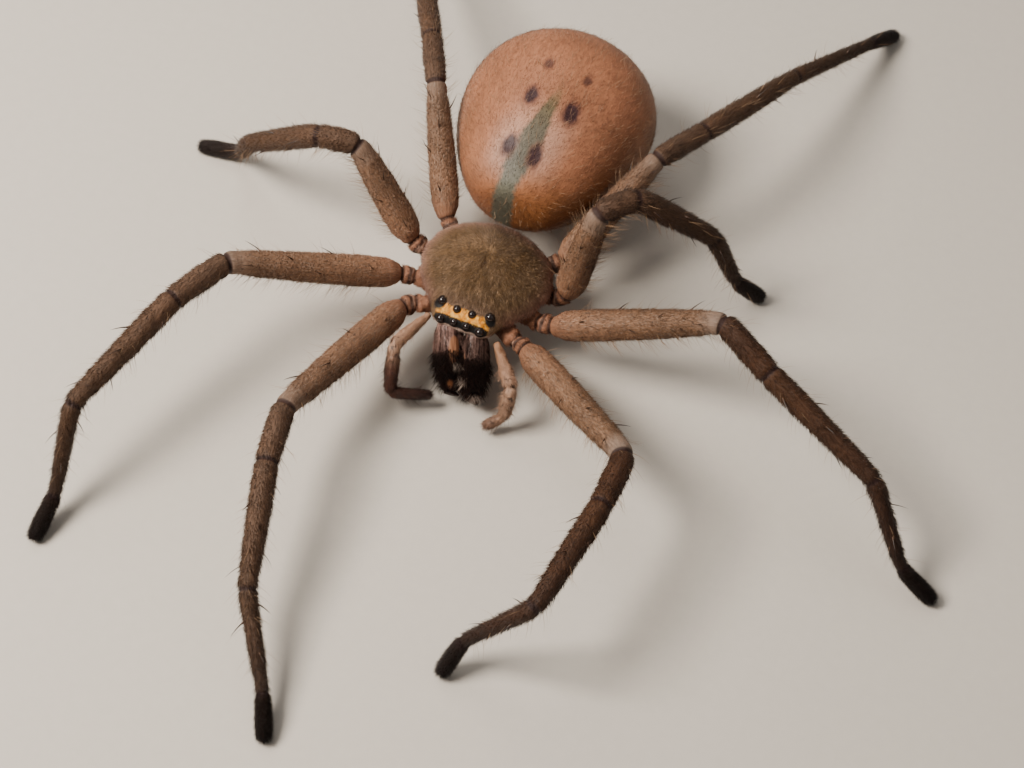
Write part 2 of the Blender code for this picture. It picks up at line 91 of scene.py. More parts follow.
# Jaws and palps.
JAW_ROOT = (1.4, -5.4, -0.9)
JAW_TIP = (1.1, -10.5, 2.2)
JAW_LEAN = 2.2
JAW_RADII = ((0.0, 1.1), (0.12, 1.35), (0.38, 1.52), (0.6, 1.38), (0.8, 1.1), (0.93, 0.82), (1.0, 0.55))
JAW_GAP = 0.3
JAW_PRESS = 0.35
FANG_RADII = (0.34, 0.34, 0.3, 0.24, 0.1)
FANG_REACH = 1.35
FANG_SAG = 0.55
FANG_CLEAR = 0.2
PALP_JOINTS = {
    "left": ((3.75, -5.6, 5.2), (6.9, -9.8, 5.4), (6.9, -11.1, 2.0), (5.3, -12.4, 1.1)),
    "right": ((-3.5, -5.3, 5.3), (-5.0, -10.2, 6.0), (-4.0, -13.5, 2.8), (-0.3, -11.5, 1.8)),
}
PALP_STATIONS = (
    ((0.0, 0.4), (0.2, 0.44), (0.7, 0.66)),
    ((0.2, 0.72), (0.6, 0.7), (0.9, 0.64)),
    ((0.1, 0.56), (0.6, 0.56), (0.9, 0.46)),
)
PALP_BENDS = (0.42, 0.64, 0.56, 0.3)
PALP_REACH = 0.6

# Abdomen, and its dark spots: place, radius and strength.
ABDOMEN_HALF = (9.6, 12.2, 7.4)
ABDOMEN_MIDDLE = (-0.2, 17.8, 8.6)
ABDOMEN_EGG = 0.2
ABDOMEN_PITCH = math.radians(-2.4)
ABDOMEN_FRONT = 7.6
ABDOMEN_YIELD = 0.85
SIGILLA = (
    (-2.15, 10.8, 0.95, 1.0),
    (0.65, 10.5, 0.95, 1.0),
    (-2.1, 16.1, 0.95, 1.0),
    (2.2, 15.8, 1.15, 1.0),
    (-1.9, 20.3, 0.65, 0.7),
    (2.3, 20.0, 0.65, 0.7),
)
SIGILLA_DEPTH = 0.16

# Legs. Each pair shares its lengths; each leg has its own headings and rises.
LEG_LENGTHS = {
    1: (18.5, 6.0, 12.0, 9.4, 4.2),
    2: (18.4, 6.4, 13.7, 9.0, 4.6),
    3: (11.8, 3.8, 10.6, 7.8, 4.6),
    4: (14.2, 6.0, 15.4, 15.6, 5.2),
}
LEG_ROOTS = {1: (1.8, -2.9, -1.4), 2: (1.8, -1.0, -1.4), 3: (1.8, 1.0, -1.3), 4: (1.8, 2.9, -1.3)}
LEG_HIPS = {1: (6.2, -4.8, 5.0), 2: (7.5, -1.7, 5.2), 3: (7.9, 1.8, 5.5), 4: (5.9, 5.0, 6.0)}
LEG_HEADINGS = {
    ("left", 1): (-38, -91, -98, -161, -114),
    ("right", 1): (-105, -80, -74, -56, -64),
    ("left", 2): (6, -26, -21, -39, -12),
    ("right", 2): (-146, -114, -107, -83, -94),
    ("left", 3): (64, 45, 26, 19, 34),
    ("right", 3): (160, 195, 172, 130, 185),
    ("left", 4): (64, 60, 68, 68, 66),
    ("right", 4): (119, 117, 117, 117, 117),
}
LEG_RISES = {
    ("left", 1): (18, 4, -1, -51),
    ("right", 1): (11, -1, -14, -21),
    ("left", 2): (27, -13, -14, -43),
    ("right", 2): (19, 0, -9, -48),
    ("left", 3): (75, 8, -38, -66),
    ("right", 3): (47, 8, -40, -58),
    ("left", 4): (28, -2, -14, -23),
    ("right", 4): (28, 0, -16, -23),
}
FOOT_HEIGHT = 0.4
LEG_REACH = 1.35
LEG_STATIONS = (
    ((0.0, 0.8), (0.45, 0.9), (0.75, 1.12), (0.95, 1.14)),
    ((0.0, 1.35), (0.08, 1.5), (0.25, 1.55), (0.6, 1.45), (0.95, 1.22)),
    ((0.15, 1.2), (0.8, 1.16)),
    ((0.08, 1.15), (0.5, 1.08), (0.95, 0.94)),
    ((0.08, 0.82), (0.5, 0.76), (0.95, 0.68)),
    ((0.1, 0.66), (0.55, 0.66), (0.9, 0.55)),
)
LEG_BENDS = (0.7, 1.05, 1.12, 1.1, 0.86, 0.62, 0.3)
PAIR_GIRTH = {1: 1.0, 2: 1.02, 3: 1.0, 4: 0.93}
LEG_KINDS = ("coxa", "femur", "tibia", "foot")
# A seam's place along a limb that has no joint: too far off to show.
FAR_OFF = -99.0
# Creases before and behind a leg's hip, in mm from it.
HIP_FOLD = 1.0
FEMUR_NECK = 0.42
# Rings round a limb: mm past the joint, depth as a share of the girth, width in mm.
HIP_RINGS = (
    (-HIP_FOLD, 0.24, 0.17),
    (-HIP_FOLD - 0.85, 0.12, 0.12),
    (FEMUR_NECK, 0.34, 0.2),
    (-0.28, -0.07, 0.3),
    (-0.05, 0.07, 0.1),
)
KNEE_RING = (0.0, 0.24, 0.13)
JOINT_RING = (0.0, 0.14, 0.17)
JOINT_SWELLS = ((-0.6, -0.04, 0.35), (0.6, -0.03, 0.4))
PALP_RINGS = ((0.0, 0.3, 0.16), (-0.5, -0.08, 0.3))
PALP_NECK_RING = (0.9, 0.12, 0.14)
# How deep the skin's folds are, in mm: at stages along a leg, and all along a palp.
LEG_FOLDS = ((0.95, 0.34), (1.04, 0.06), (2.0, 0.05), (5.0, 0.04), (5.5, 0.0))
PALP_FOLD = 0.07
# Spines: segment, share along it, and degrees round from the top.
SPINES = (
    (1, 0.22, 25), (1, 0.42, -35), (1, 0.5, 60), (1, 0.66, 10), (1, 0.8, -70), (1, 0.88, 45),
    (3, 0.18, 70), (3, 0.35, -60), (3, 0.52, 15), (3, 0.7, 110), (3, 0.82, -105),
    (4, 0.15, 75), (4, 0.3, -75), (4, 0.62, 20),
)

# Furrows of the carapace: the middle pit, one on each side of the head, and faint rays.
FOVEA = (-0.15, 0.6, 2.35)
FOVEA_HALF = (0.2, 0.8)
FOVEA_DEPTH = 0.28
HEAD_FURROW = ((0.3, -0.6), (3.7, -3.6))
FURROW_WIDTH = 0.4
FURROW_DEPTH = 0.13
RAY_COUNT = 7
RAY_DEPTH = 0.05

# Across a jaw, in mm from its ridge: the middle of the bald strip, and of the orange spot.
BALD_PLACE = {"left": -1.35, "right": -0.36}
EMBER_PLACE = {"left": -1.6, "right": 0.1}
BALD_SQUEEZE = 0.36
# Painted light and shade on the jaws' grey coat: the left jaw's darkened as in shade, the right one's
# lightened where the lamp falls.
JAW_PAINTED_LIGHT = {"left": 0.6, "right": 1.1}
# Whitish tufts on a jaw: where they start and end along it, degrees round from the top, hairs.
JAW_TUFTS = {
    "left": ((0.66, 0.78, -50.0, 45), (0.93, 0.98, 20.0, 60)),
    "right": ((0.58, 0.66, -35.0, 70), (0.74, 0.82, -60.0, 40)),
}

# Colours along a limb, as a share of its segments: legs partly darkened by painted shade, legs lightened by
# painted light on the side the lamp falls on, and palps.
SHADED_LEG_RAMP = (
    (0.0, (0.18, 0.070, 0.034)),
    (0.16, (0.24, 0.099, 0.050)),
    (0.2, (0.225, 0.115, 0.064)),
    (0.26, (0.182, 0.094, 0.050)),
    (0.325, (0.162, 0.086, 0.047)),
    (0.335, (0.052, 0.021, 0.009)),
    (0.43, (0.056, 0.022, 0.009)),
    (0.52, (0.062, 0.025, 0.010)),
    (0.68, (0.046, 0.019, 0.009)),
    (0.78, (0.032, 0.013, 0.007)),
    (0.86, (0.017, 0.007, 0.004)),
    (1.0, (0.008, 0.0035, 0.003)),
)
LIT_LEG_RAMP = (
    (0.0, (0.25, 0.110, 0.060)),
    (0.16, (0.285, 0.129, 0.075)),
    (0.2, (0.218, 0.110, 0.061)),
    (0.26, (0.174, 0.090, 0.050)),
    (0.325, (0.152, 0.082, 0.048)),
    (0.34, (0.095, 0.052, 0.031)),
    (0.43, (0.105, 0.058, 0.035)),
    (0.52, (0.100, 0.052, 0.029)),
    (0.68, (0.072, 0.036, 0.018)),
    (0.78, (0.050, 0.024, 0.012)),
    (0.86, (0.020, 0.009, 0.005)),
    (1.0, (0.009, 0.004, 0.003)),
)
PALP_RAMPS = {
    "left": (
        (0.0, (0.30, 0.15, 0.08)),
        (0.3, (0.46, 0.28, 0.19)),
        (0.62, (0.34, 0.2, 0.13)),
        (1.0, (0.2, 0.11, 0.075)),
    ),
    "right": (
        (0.0, (0.36, 0.20, 0.125)),
        (0.36, (0.40, 0.24, 0.16)),
        (0.5, (0.09, 0.035, 0.022)),
        (1.0, (0.018, 0.006, 0.004)),
    ),
}
# Colours along the stripe on the abdomen, from the waist back.
STRIPE_RAMP = (
    (0.0, (0.078, 0.082, 0.060)),
    (0.12, (0.105, 0.118, 0.090)),
    (0.3, (0.080, 0.090, 0.072)),
    (0.6, (0.090, 0.092, 0.064)),
    (0.8, (0.10, 0.088, 0.044)),
    (1.0, (0.22, 0.14, 0.065)),
)
# Colours of smaller marks.
LEG_MARKS = {
    # Painted light: the pale knee of the left rear legs.
    "knee": (0.145, 0.085, 0.052),
    "fleck": (0.33, 0.25, 0.195),
    "vein": (0.085, 0.052, 0.030),
    "dot": (0.03, 0.014, 0.01),
    "bare": (0.30, 0.23, 0.19),
    "line": (0.02, 0.006, 0.005),
    # Painted highlight: a pale line beside the hip's fold.
    "fold_highlight": (0.50, 0.34, 0.26),
    "crease": (0.028, 0.010, 0.007),
}
SHIELD_MARKS = {
    "cloud": (0.185, 0.112, 0.06),
    "pit": (0.05, 0.03, 0.025),
    "dusk": (0.24, 0.155, 0.12),
    "cream": (0.84, 0.47, 0.11),
    "ink": (0.004, 0.003, 0.003),
    "chin": (0.36, 0.25, 0.20),
    "under": (0.20, 0.12, 0.08),
}
ABDOMEN_MARKS = {
    # Painted light: lighter flank and front for the side the lamp falls on.
    "lit_side": (0.262, 0.113, 0.060),
    "front": (0.27, 0.098, 0.030),
    "lit_front": (0.25, 0.095, 0.042),
    # Painted highlight beside the stripe.
    "painted_sheen": (0.60, 0.37, 0.28),
    "halo": (0.17, 0.06, 0.035),
}
JAW_MARKS = {
    "black": (0.003, 0.0015, 0.0015),
    "gap": (0.035, 0.014, 0.011),
    "horn_low": (0.16, 0.058, 0.025),
    "horn": (0.37, 0.17, 0.09),
    "ember": (0.17, 0.058, 0.021),
    "fringe": (0.022, 0.009, 0.006),
    "tuft_low": (0.10, 0.06, 0.045),
    "tuft": (0.52, 0.41, 0.34),
}

# Kinds of hair: length and width in mm, lift and curl in degrees, and the rings that bend it.
HAIRS = {
    "jaw_coat": {"length": 0.55, "width": 0.04, "lift": 20, "bends": 2, "curl": 15},
    "jaw_fringe": {"length": 1.2, "width": 0.05, "lift": 42, "bends": 3, "curl": 25, "spread": 0.5},
    "jaw_tuft": {"length": 1.25, "width": 0.045, "lift": 40, "bends": 3, "curl": 25, "spread": 0.5},
    "palp_coat": {"length": 0.42, "width": 0.035, "lift": 24},
    "palp_hair": {"length": 1.0, "width": 0.035, "lift": 48, "bends": 3, "curl": 20},
    "foot_pad": {"length": 0.55, "width": 0.04, "lift": 42},
    "leg_coat": {"width": 0.045},
    "leg_hair": {"width": 0.04, "lift": 58, "bends": 4, "curl": 25, "spread": 0.3, "taper": 0.9},
    "spine": {"width": 0.14, "lift": 42, "bends": 5, "curl": 18, "spread": 0.15, "taper": 0.8, "sides": 7},
    "abdomen_coat": {"length": 0.55, "width": 0.032, "lift": 17},
    "abdomen_hair": {"length": 1.2, "width": 0.03, "lift": 34, "bends": 3, "curl": 25, "spread": 0.5},
    "shield_coat": {"width": 0.042, "lift": 22},
}
HAIR_COUNTS = {
    "jaw_coat": 9000,
    "jaw_fringe": 1300,
    "palp_coat": 6000,
    "palp_hair": 260,
    "foot_pad": 3600,
    "under_leg": 150,
    "under_femur": 130,
    "round_leg": 110,
    "abdomen_hair": 1500,
    "shield_coat": 52000,
}

CAMERA_DISTANCE = 235.0
CAMERA_TARGET = (5.86, -6.02, 0.0)
CAMERA_RISE = math.radians(57)
CAMERA_TURN = math.radians(16)
CAMERA_ROLL = math.radians(7)
CAMERA_WIDTH = math.radians(24)
# Lamps: steps right, up and back from the animal, distance and size in metres, power, colour.
LAMPS = {
    "key": ((-0.75, 0.5, 0.9), 0.30, 0.12, 1.65, (1.0, 0.92, 0.82)),
    "fill": ((0.9, 0.3, 0.8), 0.4, 0.35, 0.13, (1.0, 0.95, 0.9)),
    "rim": ((-0.2, 1.0, 0.35), 0.4, 0.2, 0.4, (1.0, 0.95, 0.88)),
}
WORLD_COLOUR = (0.9, 0.87, 0.83, 1.0)
WORLD_STRENGTH = 0.19


def on_body(x, y, z):
    """A place in the body's own frame, as millimetres over the floor."""
    return BODY_TURN @ Vector((x, y, z)) + Vector((0.0, 0.0, BODY_HEIGHT))


def frame_shift():
    """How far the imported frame's origin lies from the body's own, read from the sternum."""
    low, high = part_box("sternum")
    shift = (low + high) / 2 / MM - on_body(*STERNUM_MIDDLE)
    shift.z = 0.0
    return shift


SHIFT = frame_shift()
BOX_LOW, BOX_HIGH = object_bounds()
# Hairs stop this far past the solids' box, in mm, and never reach under the floor.
HAIR_ROOM = 0.35
ROOM_LOW = np.array((BOX_LOW.x / MM - HAIR_ROOM, BOX_LOW.y / MM - HAIR_ROOM, 0.01))
ROOM_HIGH = np.array(BOX_HIGH) / MM + HAIR_ROOM


def placed(place):
    """A model place in millimetres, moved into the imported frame."""
    return Vector(place) + SHIFT


def to_body(places):
    """Frame places, as rows of millimetres, measured in the body's own frame."""
    moved = places - np.array(SHIFT) - np.array((0.0, 0.0, BODY_HEIGHT))
    return moved @ np.array(BODY_TURN)


def unit(rows):
    """Rows of vectors, each brought to length one."""
    return rows / np.maximum(np.linalg.norm(rows, axis=1, keepdims=True), 1e-9)


def length_of(name, description, default, low, high):
    """A length in millimetres, set in the panel."""
    text = f"{description}, in mm"
    return FloatProperty(name=name, description=text, default=default, min=low, max=high)


def number_of(name, description, default, high):
    """A number of hairs, set in the panel."""
    return IntProperty(name=name, description=description, default=default, min=0, max=high)


def colour_of(name, description, default):
    """A colour, set in the panel."""
    return FloatVectorProperty(name=name, description=description, subtype="COLOR", default=default)


class SpiderSizes(bpy.types.PropertyGroup):
    """Sizes of the coat and the finer parts."""

    coat_depth: length_of("Coat depth", "Room for the coat over the skin", 0.05, 0.0, 0.5)
    velvet: length_of("Velvet length", "Length of the short coat", 0.5, 0.1, 2.0)
    long_hair: length_of("Long hair", "Length of the fine hairs under the legs", 2.1, 0.5, 5.0)
    spine: length_of("Spine length", "Length of the legs' spines", 1.7, 0.5, 4.0)
    leg_hairs: number_of("Hairs on a leg", "Short hairs on each leg", 19000, 45000)
    body_hairs: number_of("Hairs on the abdomen", "Short hairs on the abdomen", 44000, 49000)


class SpiderColours(bpy.types.PropertyGroup):
    """Colours of the skin, the coat and the markings."""

    abdomen_top: colour_of("Abdomen", "Back of the abdomen", (0.352, 0.144, 0.074))
    abdomen_side: colour_of("Abdomen side", "Flanks of the abdomen", (0.19, 0.075, 0.026))
    sigilla: colour_of("Spots", "Dark spots on the abdomen", (0.045, 0.018, 0.02))
    shield: colour_of("Carapace", "Back of the carapace", (0.125, 0.069, 0.029))
    shield_rim: colour_of("Carapace rim", "Pale rim of the carapace", (0.46, 0.25, 0.185))
    eye_band: colour_of("Eye band", "Cream band between the eyes", (0.66, 0.245, 0.013))
    eye: colour_of("Eyes", "The eyes", (0.006, 0.005, 0.006))
    jaw: colour_of("Jaws", "Lower half of the jaws", (0.009, 0.0025, 0.002))
    jaw_coat: colour_of("Jaw coat", "Grey coat on the jaws", (0.315, 0.185, 0.152))
    fang: colour_of("Fangs", "The fangs", (0.016, 0.005, 0.004))
    hair: colour_of("Long hair", "Fine pale hairs", (0.42, 0.25, 0.14))
    spine: colour_of("Spines", "Short dark spines", (0.030, 0.015, 0.010))
    floor: colour_of("Floor", "The stage's floor", (0.62, 0.57, 0.51))


class Value:
    """A number that varies over a surface, so that sums on it read as sums."""

    def __init__(self, paint, socket):
        self.paint = paint
        self.socket = socket

    def __add__(self, other):
        return self.paint.math("ADD", self, other)

    def __sub__(self, other):
        return self.paint.math("SUBTRACT", self, other)

    def __rsub__(self, other):
        return self.paint.math("SUBTRACT", other, self)

    def __mul__(self, other):
        return self.paint.math("MULTIPLY", self, other)

    def __truediv__(self, other):
        return self.paint.math("DIVIDE", self, other)

    __radd__ = __add__
    __rmul__ = __mul__


class Paint:
    """One material, whose nodes are added by plain calls."""

    def __init__(self, name, roughness, specular=0.5, sheen=0.0):
        self.material = bpy.data.materials.new(name)
        self.material.use_nodes = True
        self.tree = self.material.node_tree
        self.shader = self.tree.nodes["Principled BSDF"]
        self.shader.inputs["Roughness"].default_value = roughness
        self.shader.inputs["Specular IOR Level"].default_value = specular
        self.shader.inputs["Sheen Weight"].default_value = sheen
        self.shader.inputs["Sheen Roughness"].default_value = 0.5

    def node(self, kind, settings=(), inputs=(), output=0):
        """Any node: its settings first, then the values or links of its sockets."""
        made = self.tree.nodes.new(kind)
        for key, value in dict(settings).items():
            if key == "stops":
                self.set_stops(made.color_ramp, value)
            else:
                setattr(made, key, value)
        for key, value in dict(inputs).items():
            if isinstance(value, Value):
                self.tree.links.new(value.socket, made.inputs[key])
            else:
                made.inputs[key].default_value = value
        return Value(self, made.outputs[output])

    @staticmethod
    def set_stops(ramp, stops):
        """Give a colour ramp its places and colours."""
        while len(ramp.elements) < len(stops):
            ramp.elements.new(0.5)
        for element, (place, colour) in zip(ramp.elements, stops):
            element.position = place
            element.color = (*colour, 1.0)

    def math(self, operation, *terms):
        return self.node("ShaderNodeMath", {"operation": operation}, dict(enumerate(terms)))

    def step(self, value, low, high):
        """A smooth rise from 0 at low to 1 at high, or a fall where high is the lower."""
        sockets = {"Value": value, "From Min": min(low, high), "From Max": max(low, high)}
        rise = self.node("ShaderNodeMapRange", {"interpolation_type": "SMOOTHSTEP"}, sockets)
        return rise if low < high else 1 - rise

    def ramp(self, value, stops):
        return self.node("ShaderNodeValToRGB", {"stops": stops}, {"Fac": value})

    def mix(self, share, under, over):
        """One colour over another by a share from 0 to 1."""
        colours = {6: under, 7: over}
        for key, colour in colours.items():
            if not isinstance(colour, Value):
                colours[key] = (*colour, 1.0)
        return self.node("ShaderNodeMix", {"data_type": "RGBA"}, {0: share, **colours}, 2)

    def shade(self, colour, value):
        """A colour made darker or lighter by a number near one."""
        return self.node("ShaderNodeVectorMath", {"operation": "SCALE"}, {0: colour, "Scale": value})

    def attribute(self, name):
        return self.node("ShaderNodeAttribute", {"attribute_name": name}, (), "Fac")

    def place(self, name):
        """A place stored on the mesh, in millimetres."""
        return self.node("ShaderNodeAttribute", {"attribute_name": name}, (), "Vector")

    def object_place(self):
        """The place on an object that keeps none of its own, in metres."""
        return self.node("ShaderNodeTexCoord", (), (), "Object")

    def axes(self, vector):
        """The three numbers of a place."""
        split = self.node("ShaderNodeSeparateXYZ", (), {0: vector}).socket.node
        return [Value(self, split.outputs[axis]) for axis in range(3)]

    def scaled(self, vector, factors):
        return self.node("ShaderNodeVectorMath", {"operation": "MULTIPLY"}, {0: vector, 1: factors})

    def noise(self, vector, scale, detail=3.0, roughness=0.55):
        sockets = {"Vector": vector, "Scale": scale, "Detail": detail, "Roughness": roughness}
        return self.node("ShaderNodeTexNoise", (), sockets)

    def streaks(self, vector, stretch, scale, detail=3.0, roughness=0.55):
        """Noise drawn out along one of its axes."""
        return self.noise(self.scaled(vector, stretch), scale, detail, roughness)

    def near(self, vector, place, inner, outer):
        """One within the inner distance of a place, nought past the outer one."""
        gap = self.node("ShaderNodeVectorMath", {"operation": "DISTANCE"}, {0: vector, 1: place}, "Value")
        return self.step(gap, outer, inner)

    def colour(self, value):
        self.tree.links.new(value.socket, self.shader.inputs["Base Color"])

    def bump(self, height, strength, depth):
        """Raise the surface by a height from 0 to 1, with its full depth in millimetres."""
        sockets = {"Height": height, "Strength": strength, "Distance": depth * MM}
        bump = self.node("ShaderNodeBump", (), sockets)
        self.tree.links.new(bump.socket, self.shader.inputs["Normal"])


def deselect():
    """Leave nothing selected and nothing active."""
    if bpy.context.object and bpy.context.object.mode != "OBJECT":
        bpy.ops.object.mode_set(mode="OBJECT")
    bpy.ops.object.select_all(action="DESELECT")


def activate(thing):
    """Select one object alone."""
    deselect()
    thing.select_set(True)
    bpy.context.view_layer.objects.active = thing


def apply_step(thing, kind, **settings):
    """Add one modifier to an object and apply it."""
    activate(thing)
    step = thing.modifiers.new(kind.lower(), kind)
    for key, value in settings.items():
        setattr(step, key, value)
    bpy.ops.object.modifier_apply(modifier=step.name)


def vertex_places(thing):
    """A mesh's points, as rows of millimetres."""
    rows = np.empty(len(thing.data.vertices) * 3)
    thing.data.vertices.foreach_get("co", rows)
    return rows.reshape(-1, 3) / MM


def vertex_normals(thing):
    """A mesh's point normals."""
    rows = np.empty(len(thing.data.vertices) * 3, np.float32)
    thing.data.vertex_normals.foreach_get("vector", rows)
    return rows.reshape(-1, 3).astype(float)


def move_vertices(thing, places):
    """Put a mesh's points at new places, given in millimetres."""
    thing.data.vertices.foreach_set("co", (places * MM).astype(np.float32).ravel())
    thing.data.update()


def store(thing, name, values):
    """Keep numbers or places on a mesh's points, for its material to read."""
    kind = "FLOAT_VECTOR" if values.ndim == 2 else "FLOAT"
    layer = thing.data.attributes.new(name, kind, "POINT")
    layer.data.foreach_set("vector" if values.ndim == 2 else "value", values.astype(np.float32).ravel())


def hand_in(thing, paint, nodes=()):
    """Give a finished piece its material, its body and the nodes it stands for."""
    thing.data.materials.clear()
    thing.data.materials.append(paint.material)
    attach(thing, "root")
    if nodes:
        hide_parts(*nodes)


def soft_copy(name, nodes, voxel, rounds, inset, extra=()):
    """One smooth skin over some CAD nodes, a little inside them; voxel and inset in mm.

    extra holds balls, as (place, radius) in frame millimetres, that are merged in.
    """
    shape = bmesh.new()
    for node in nodes:
        shape.from_mesh(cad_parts[node].data)
    bmesh.ops.remove_doubles(shape, verts=shape.verts, dist=1e-7)
    for place, radius in extra:
        spot = Matrix.Translation(Vector(place) * MM)
        bmesh.ops.create_icosphere(shape, subdivisions=3, radius=radius * MM, matrix=spot)
    mesh = bpy.data.meshes.new(name)
    shape.to_mesh(mesh)
    shape.free()
    thing = bpy.data.objects.new(name, mesh)
    bpy.context.scene.collection.objects.link(thing)
    apply_step(thing, "REMESH", mode="VOXEL", voxel_size=voxel * MM)
    apply_step(thing, "SMOOTH", factor=0.5, iterations=rounds)
    if inset:
        apply_step(thing, "DISPLACE", strength=-inset * MM, mid_level=0.0)
    thing.data.shade_smooth()
    return thing


class Limb:
    """A limb's centre line in short steps, with its girth, its frame and its joints.

    stage counts segments: 1.5 is half way along the second one. seam is the
    distance to the nearest joint, and run the distance from the root, in mm.
    """

    STEP = 0.2

    def __init__(self, joints, stations, bends, reach, girth=1.0):
        self.last = len(joints) - 1
        line = []
        knots = []
        marks = []
        for number in range(self.last):
            a = Vector(joints[number])
            b = Vector(joints[number + 1])
            length = (b - a).length
            ahead = (b - a) / length
            start = reach * (number > 0)
            end = length - reach * (number + 1 < self.last)
            count = max(2, math.ceil((end - start) / self.STEP))
            first = len(line)
            for step in range(count + 1):
                reached = start + (end - start) * step / count
                line.append((a + ahead * reached, number + reached / length))
            marks.append((first, len(line) - 1, number))
            if number + 1 < self.last:
                after = Vector(joints[number + 2])
                leave = b + (after - b).normalized() * reach
                entry = b - ahead * reach
                turns = max(6, math.ceil(2 * reach / self.STEP))
                for step in range(1, turns):
                    t = step / turns
                    bend = entry * (1 - t) ** 2 + b * 2 * t * (1 - t) + leave * t ** 2
                    back = (1 - 2 * t) * reach / (length if t < 0.5 else (after - b).length)
                    line.append((bend, number + 1 - back))
        self.centre = np.array([place for place, stage in line])
        self.stage = np.array([stage for place, stage in line])
        strides = np.linalg.norm(np.diff(self.centre, axis=0), axis=1)
        self.run = np.concatenate(([0.0], np.cumsum(strides)))
        for first, final, number in marks:
            low, high = self.run[first], self.run[final]
            if number:
                knots.append((low, bends[number]))
            knots.extend((low + (high - low) * share, radius) for share, radius in stations[number])
            knots.append((high, bends[number + 1]))
        knots.sort()
        radius = np.interp(self.run, [run for run, _ in knots], [r for _, r in knots])
        kernel = np.hanning(9)
        padded = np.pad(radius, 4, mode="edge")
        self.radius = np.convolve(padded, kernel / kernel.sum(), mode="valid") * girth
        self.joint_runs = np.interp(np.arange(1, self.last), self.stage, self.run)
        seams = np.append(self.joint_runs, FAR_OFF)
        self.seam = np.abs(self.run[:, None] - seams[None, :]).min(axis=1)
        self.tangent = unit(np.gradient(self.centre, axis=0))
        self.side = unit(np.cross(self.tangent, (0.0, 0.0, 1.0)))
        self.up = np.cross(self.side, self.tangent)
        self.fold = np.zeros(len(self.run))
        self.phase = 0.0

    def crumple(self, angle, run, fold):
        """How far the skin's folds lie inward, at an angle and a distance along the limb."""
        wave = np.sin(2 * angle + 1.9 * run + self.phase)
        wave += np.sin(3 * angle - 3.3 * run + 2 * self.phase)
        wave += 0.7 * np.sin(5 * angle + 4.7 * run + 3 * self.phase)
        return fold * np.clip(0.5 + 0.25 * wave, 0.0, 1.0)

    def groove(self, joint, *rings):
        """Narrow the girth in rings by a joint; a ring of depth below nought swells it."""
        for offset, depth, width in rings:
            self.radius *= 1 - depth * np.exp(-(((self.run - joint - offset) / width) ** 2))

    def round_tip(self, length):
        """Close the far end with a round tip."""
        left = np.clip((self.run[-1] - self.run) / length, 0.0, 1.0)
        self.radius *= np.sqrt(np.clip(1 - (1 - left) ** 2, 0.0025, 1.0))

    def keep_over_floor(self):
        """Lift what would reach under the floor."""
        low = self.centre[:, 2] - self.radius
        self.centre[:, 2] -= np.minimum(low, 0.0)

    def at(self, spots, angle):
        """Places, normals and directions on the skin, at fractional steps and angles in radians."""
        near = np.clip(spots.astype(int), 0, len(self.run) - 2)
        part = spots - near

        def between(rows):
            share = part if rows.ndim == 1 else part[:, None]
            return rows[near] * (1 - share) + rows[near + 1] * share

        out = between(self.up) * np.cos(angle)[:, None] + between(self.side) * np.sin(angle)[:, None]
        grain = np.stack((np.cos(angle) * 1.2, np.sin(angle) * 1.2, between(self.run)), axis=1)
        turn = (angle / (2 * math.pi)) % 1.0
        inward = self.crumple(angle, between(self.run), between(self.fold))
        places = between(self.centre) + out * (between(self.radius) - inward)[:, None]
        return {
            "place": places,
            "spot": places,
            "normal": out,
            "lie": between(self.tangent),
            "stage": between(self.stage),
            "seam": between(self.seam),
            "grain": grain,
            "patch": np.stack((0.01 + 0.98 * turn, 0.01 + 0.98 * between(self.run) / self.run[-1]), axis=1),
        }

    def scatter(self, count, draw, low=0.0, high=99.0, face=0.0, spread=180.0):
        """Random places on the skin between two stages, round the side that an angle names."""
        chosen = (self.stage >= low) & (self.stage <= high)
        weight = np.where(chosen, self.radius, 0.0)
        spots = draw.choice(len(weight), count, p=weight / weight.sum()) + draw.random(count) - 0.5
        angle = np.radians(face + draw.uniform(-spread, spread, count))
        return self.at(np.clip(spots, 0.0, len(weight) - 1.001), angle)

    def skin(self, name, round_steps=8):
        """The limb's skin: a path with a round bevel, turned into a mesh."""
        deselect()
        bpy.ops.curve.primitive_nurbs_path_add(enter_editmode=False)
        path = bpy.context.object
        path.name = name
        path.location = (0.0, 0.0, 0.0)
        curve = path.data
        curve.splines.clear()
        curve.dimensions = "3D"
        curve.twist_mode = "Z_UP"
        curve.bevel_depth = 1.0
        curve.bevel_resolution = round_steps
        curve.use_fill_caps = True
        spline = curve.splines.new("POLY")
        spline.points.add(len(self.run) - 1)
        for knot, place, radius in zip(spline.points, self.centre, self.radius):
            knot.co = (*(place * MM), 1.0)
            knot.radius = radius * MM
        bpy.ops.object.convert(target="MESH")
        thing = bpy.context.object
        bpy.ops.object.mode_set(mode="EDIT")
        bpy.ops.mesh.select_all(action="SELECT")
        bpy.ops.mesh.remove_doubles(threshold=1e-7)
        bpy.ops.mesh.normals_make_consistent(inside=False)
        bpy.ops.object.mode_set(mode="OBJECT")
        thing.data.shade_smooth()
        places = vertex_places(thing)
        nearest = np.array([np.argmin(((self.centre - place) ** 2).sum(axis=1)) for place in places])
        out = places - self.centre[nearest]
        angle = np.arctan2((out * self.side[nearest]).sum(axis=1), (out * self.up[nearest]).sum(axis=1))
        inward = self.crumple(angle, self.run[nearest], self.fold[nearest])
        places -= unit(out) * inward[:, None]
        move_vertices(thing, places)
        store(thing, "stage", self.stage[nearest])
        store(thing, "seam", self.seam[nearest])
        grain = (np.cos(angle) * 1.2, np.sin(angle) * 1.2, self.run[nearest])
        store(thing, "grain", np.stack(grain, axis=1))
        store(thing, "spot", places)
        return thing


